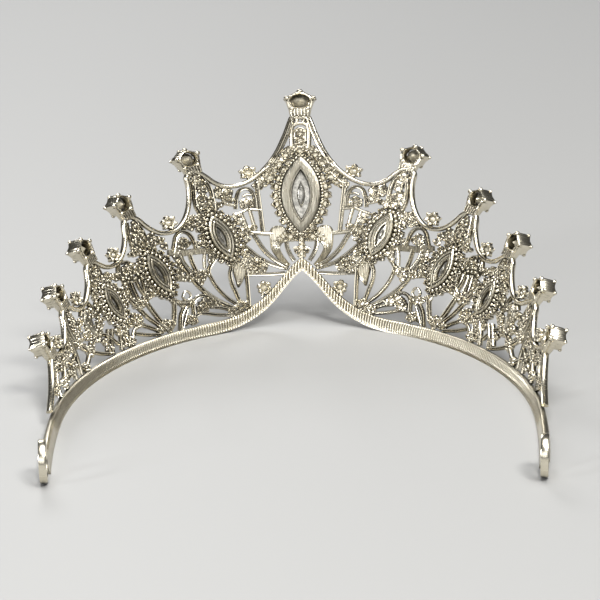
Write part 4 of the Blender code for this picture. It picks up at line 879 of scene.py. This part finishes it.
SPIRE_RIBS[0], SPIRE_CUPS[0], SPIRE_WEBS[0] = paired_ribs(SPIRE_RIBS[0]), paired(SPIRE_CUPS[0]), paired(SPIRE_WEBS[0])
SIDES = (("l", 1), ("r", -1))
band()
for side, sign in SIDES:
    crest(side, sign)
    loop(side, sign)
    rail_stars(side, sign)
    band_star(side, sign)
for index in range(4):
    for side, sign in (("centre", 1),) if index == 0 else SIDES:
        tag = side if index == 0 else f"{index}_{side}"
        openwork(f"spire_plate_{tag}", sign, SPIRE_RIBS[index], SPIRE_WEBS[index], SPIRE_CUPS[index], index)
        bezel(f"bezel_{tag}", index, sign)
        navette(f"navette_{tag}", index, sign)
for index in range(5):
    for side, sign in SIDES:
        openwork(f"openwork_{index + 1}_{side}", sign, BAY_RIBS[index], BAY_WEBS[index], BAY_CUPS[index])
for index in range(6):
    for side, sign in (("centre", 1),) if index == 0 else SIDES:
        tag = side if index == 0 else f"{index}_{side}"
        head_cup(f"spire_cup_{tag}", index, sign)
        head_stone(f"spire_stone_{tag}", index, sign)


# ---------------------------------------------------------------- floor, light and camera
def floor():
    """Plain pale ground."""
    mesh = bpy.data.meshes.new("floor")
    corners = ((-1, -1), (1, -1), (1, 1), (-1, 1))
    mesh.from_pydata([(x * FLOOR_HALF, y * FLOOR_HALF, FLOOR_Z) for x, y in corners], [], [(0, 1, 2, 3)])
    obj = bpy.data.objects.new("floor", mesh)
    bpy.context.collection.objects.link(obj)
    mat, shader = new_material("floor")
    shader.inputs["Base Color"].default_value = (0.37, 0.37, 0.365, 1.0)
    shader.inputs["Roughness"].default_value = 0.6
    mesh.materials.append(mat)


def softbox(name, place, size, power, colour=(1, 1, 1)):
    """Rectangular light aimed at the tiara."""
    data = bpy.data.lights.new(name, "AREA")
    data.shape = "RECTANGLE"
    data.size, data.size_y = size
    data.energy = power
    data.color = colour
    obj = bpy.data.objects.new(name, data)
    bpy.context.collection.objects.link(obj)
    obj.location = place
    direction = (Vector(place) - Vector(LIGHT_AIM)).normalized()
    obj.rotation_euler = direction.to_track_quat("Z", "Y").to_euler()


def studio():
    """Four softboxes, an even ceiling and a dim surround."""
    softbox("key", (-0.35, 0.60, 0.82), (0.34, 0.22), 9.0, (1.0, 0.985, 0.95))
    softbox("fill", (0.75, 0.55, 0.34), (0.12, 0.3), 3.2, (0.97, 0.98, 1.0))
    softbox("back", (0.1, 1.25, 0.50), (1.3, 0.5), 4.4)
    softbox("front", (0.3, -0.9, 0.6), (0.4, 0.3), 3.5)
    sun = bpy.data.objects.new("ceiling", bpy.data.lights.new("ceiling", "SUN"))
    sun.data.energy = 2.6
    sun.data.angle = math.radians(50)
    sun.rotation_euler = (math.radians(-8), math.radians(-6), 0.0)
    bpy.context.collection.objects.link(sun)
    world = bpy.data.worlds.new("studio")
    bpy.context.scene.world = world
    world.use_nodes = True
    surround = world.node_tree.nodes["Background"]
    surround.inputs["Color"].default_value = (0.80, 0.81, 0.82, 1.0)
    surround.inputs["Strength"].default_value = 0.07


def camera():
    """Camera at the photograph's angle."""
    c = CAMERA
    e, psi, rho = (math.radians(c[k]) for k in ("elevation", "azimuth", "roll"))
    back = np.array([math.sin(psi) * math.cos(e), math.cos(psi) * math.cos(e), math.sin(e)])
    look = np.array([c["aim"][0], PLAN_Y, c["aim"][1]])
    right = np.cross(-back, [0, 0, 1])
    right /= np.linalg.norm(right)
    up = np.cross(right, -back)
    tilted_right = right * math.cos(rho) + up * math.sin(rho)
    tilted_up = -right * math.sin(rho) + up * math.cos(rho)
    data = bpy.data.cameras.new("camera")
    data.sensor_width = 36.0
    data.lens = c["lens"]
    data.clip_start = 0.01
    data.clip_end = 20.0
    obj = bpy.data.objects.new("camera", data)
    bpy.context.collection.objects.link(obj)
    place = (look + back * c["distance"]) * MM
    rows = np.stack([tilted_right, tilted_up, back], axis=1)
    obj.matrix_world = Matrix([[*rows[i], place[i]] for i in range(3)] + [[0, 0, 0, 1]])
    bpy.context.scene.camera = obj


floor()
studio()
camera()
view = bpy.context.scene.view_settings
view.view_transform = "Standard"
view.look = "None"
view.exposure = 0.0
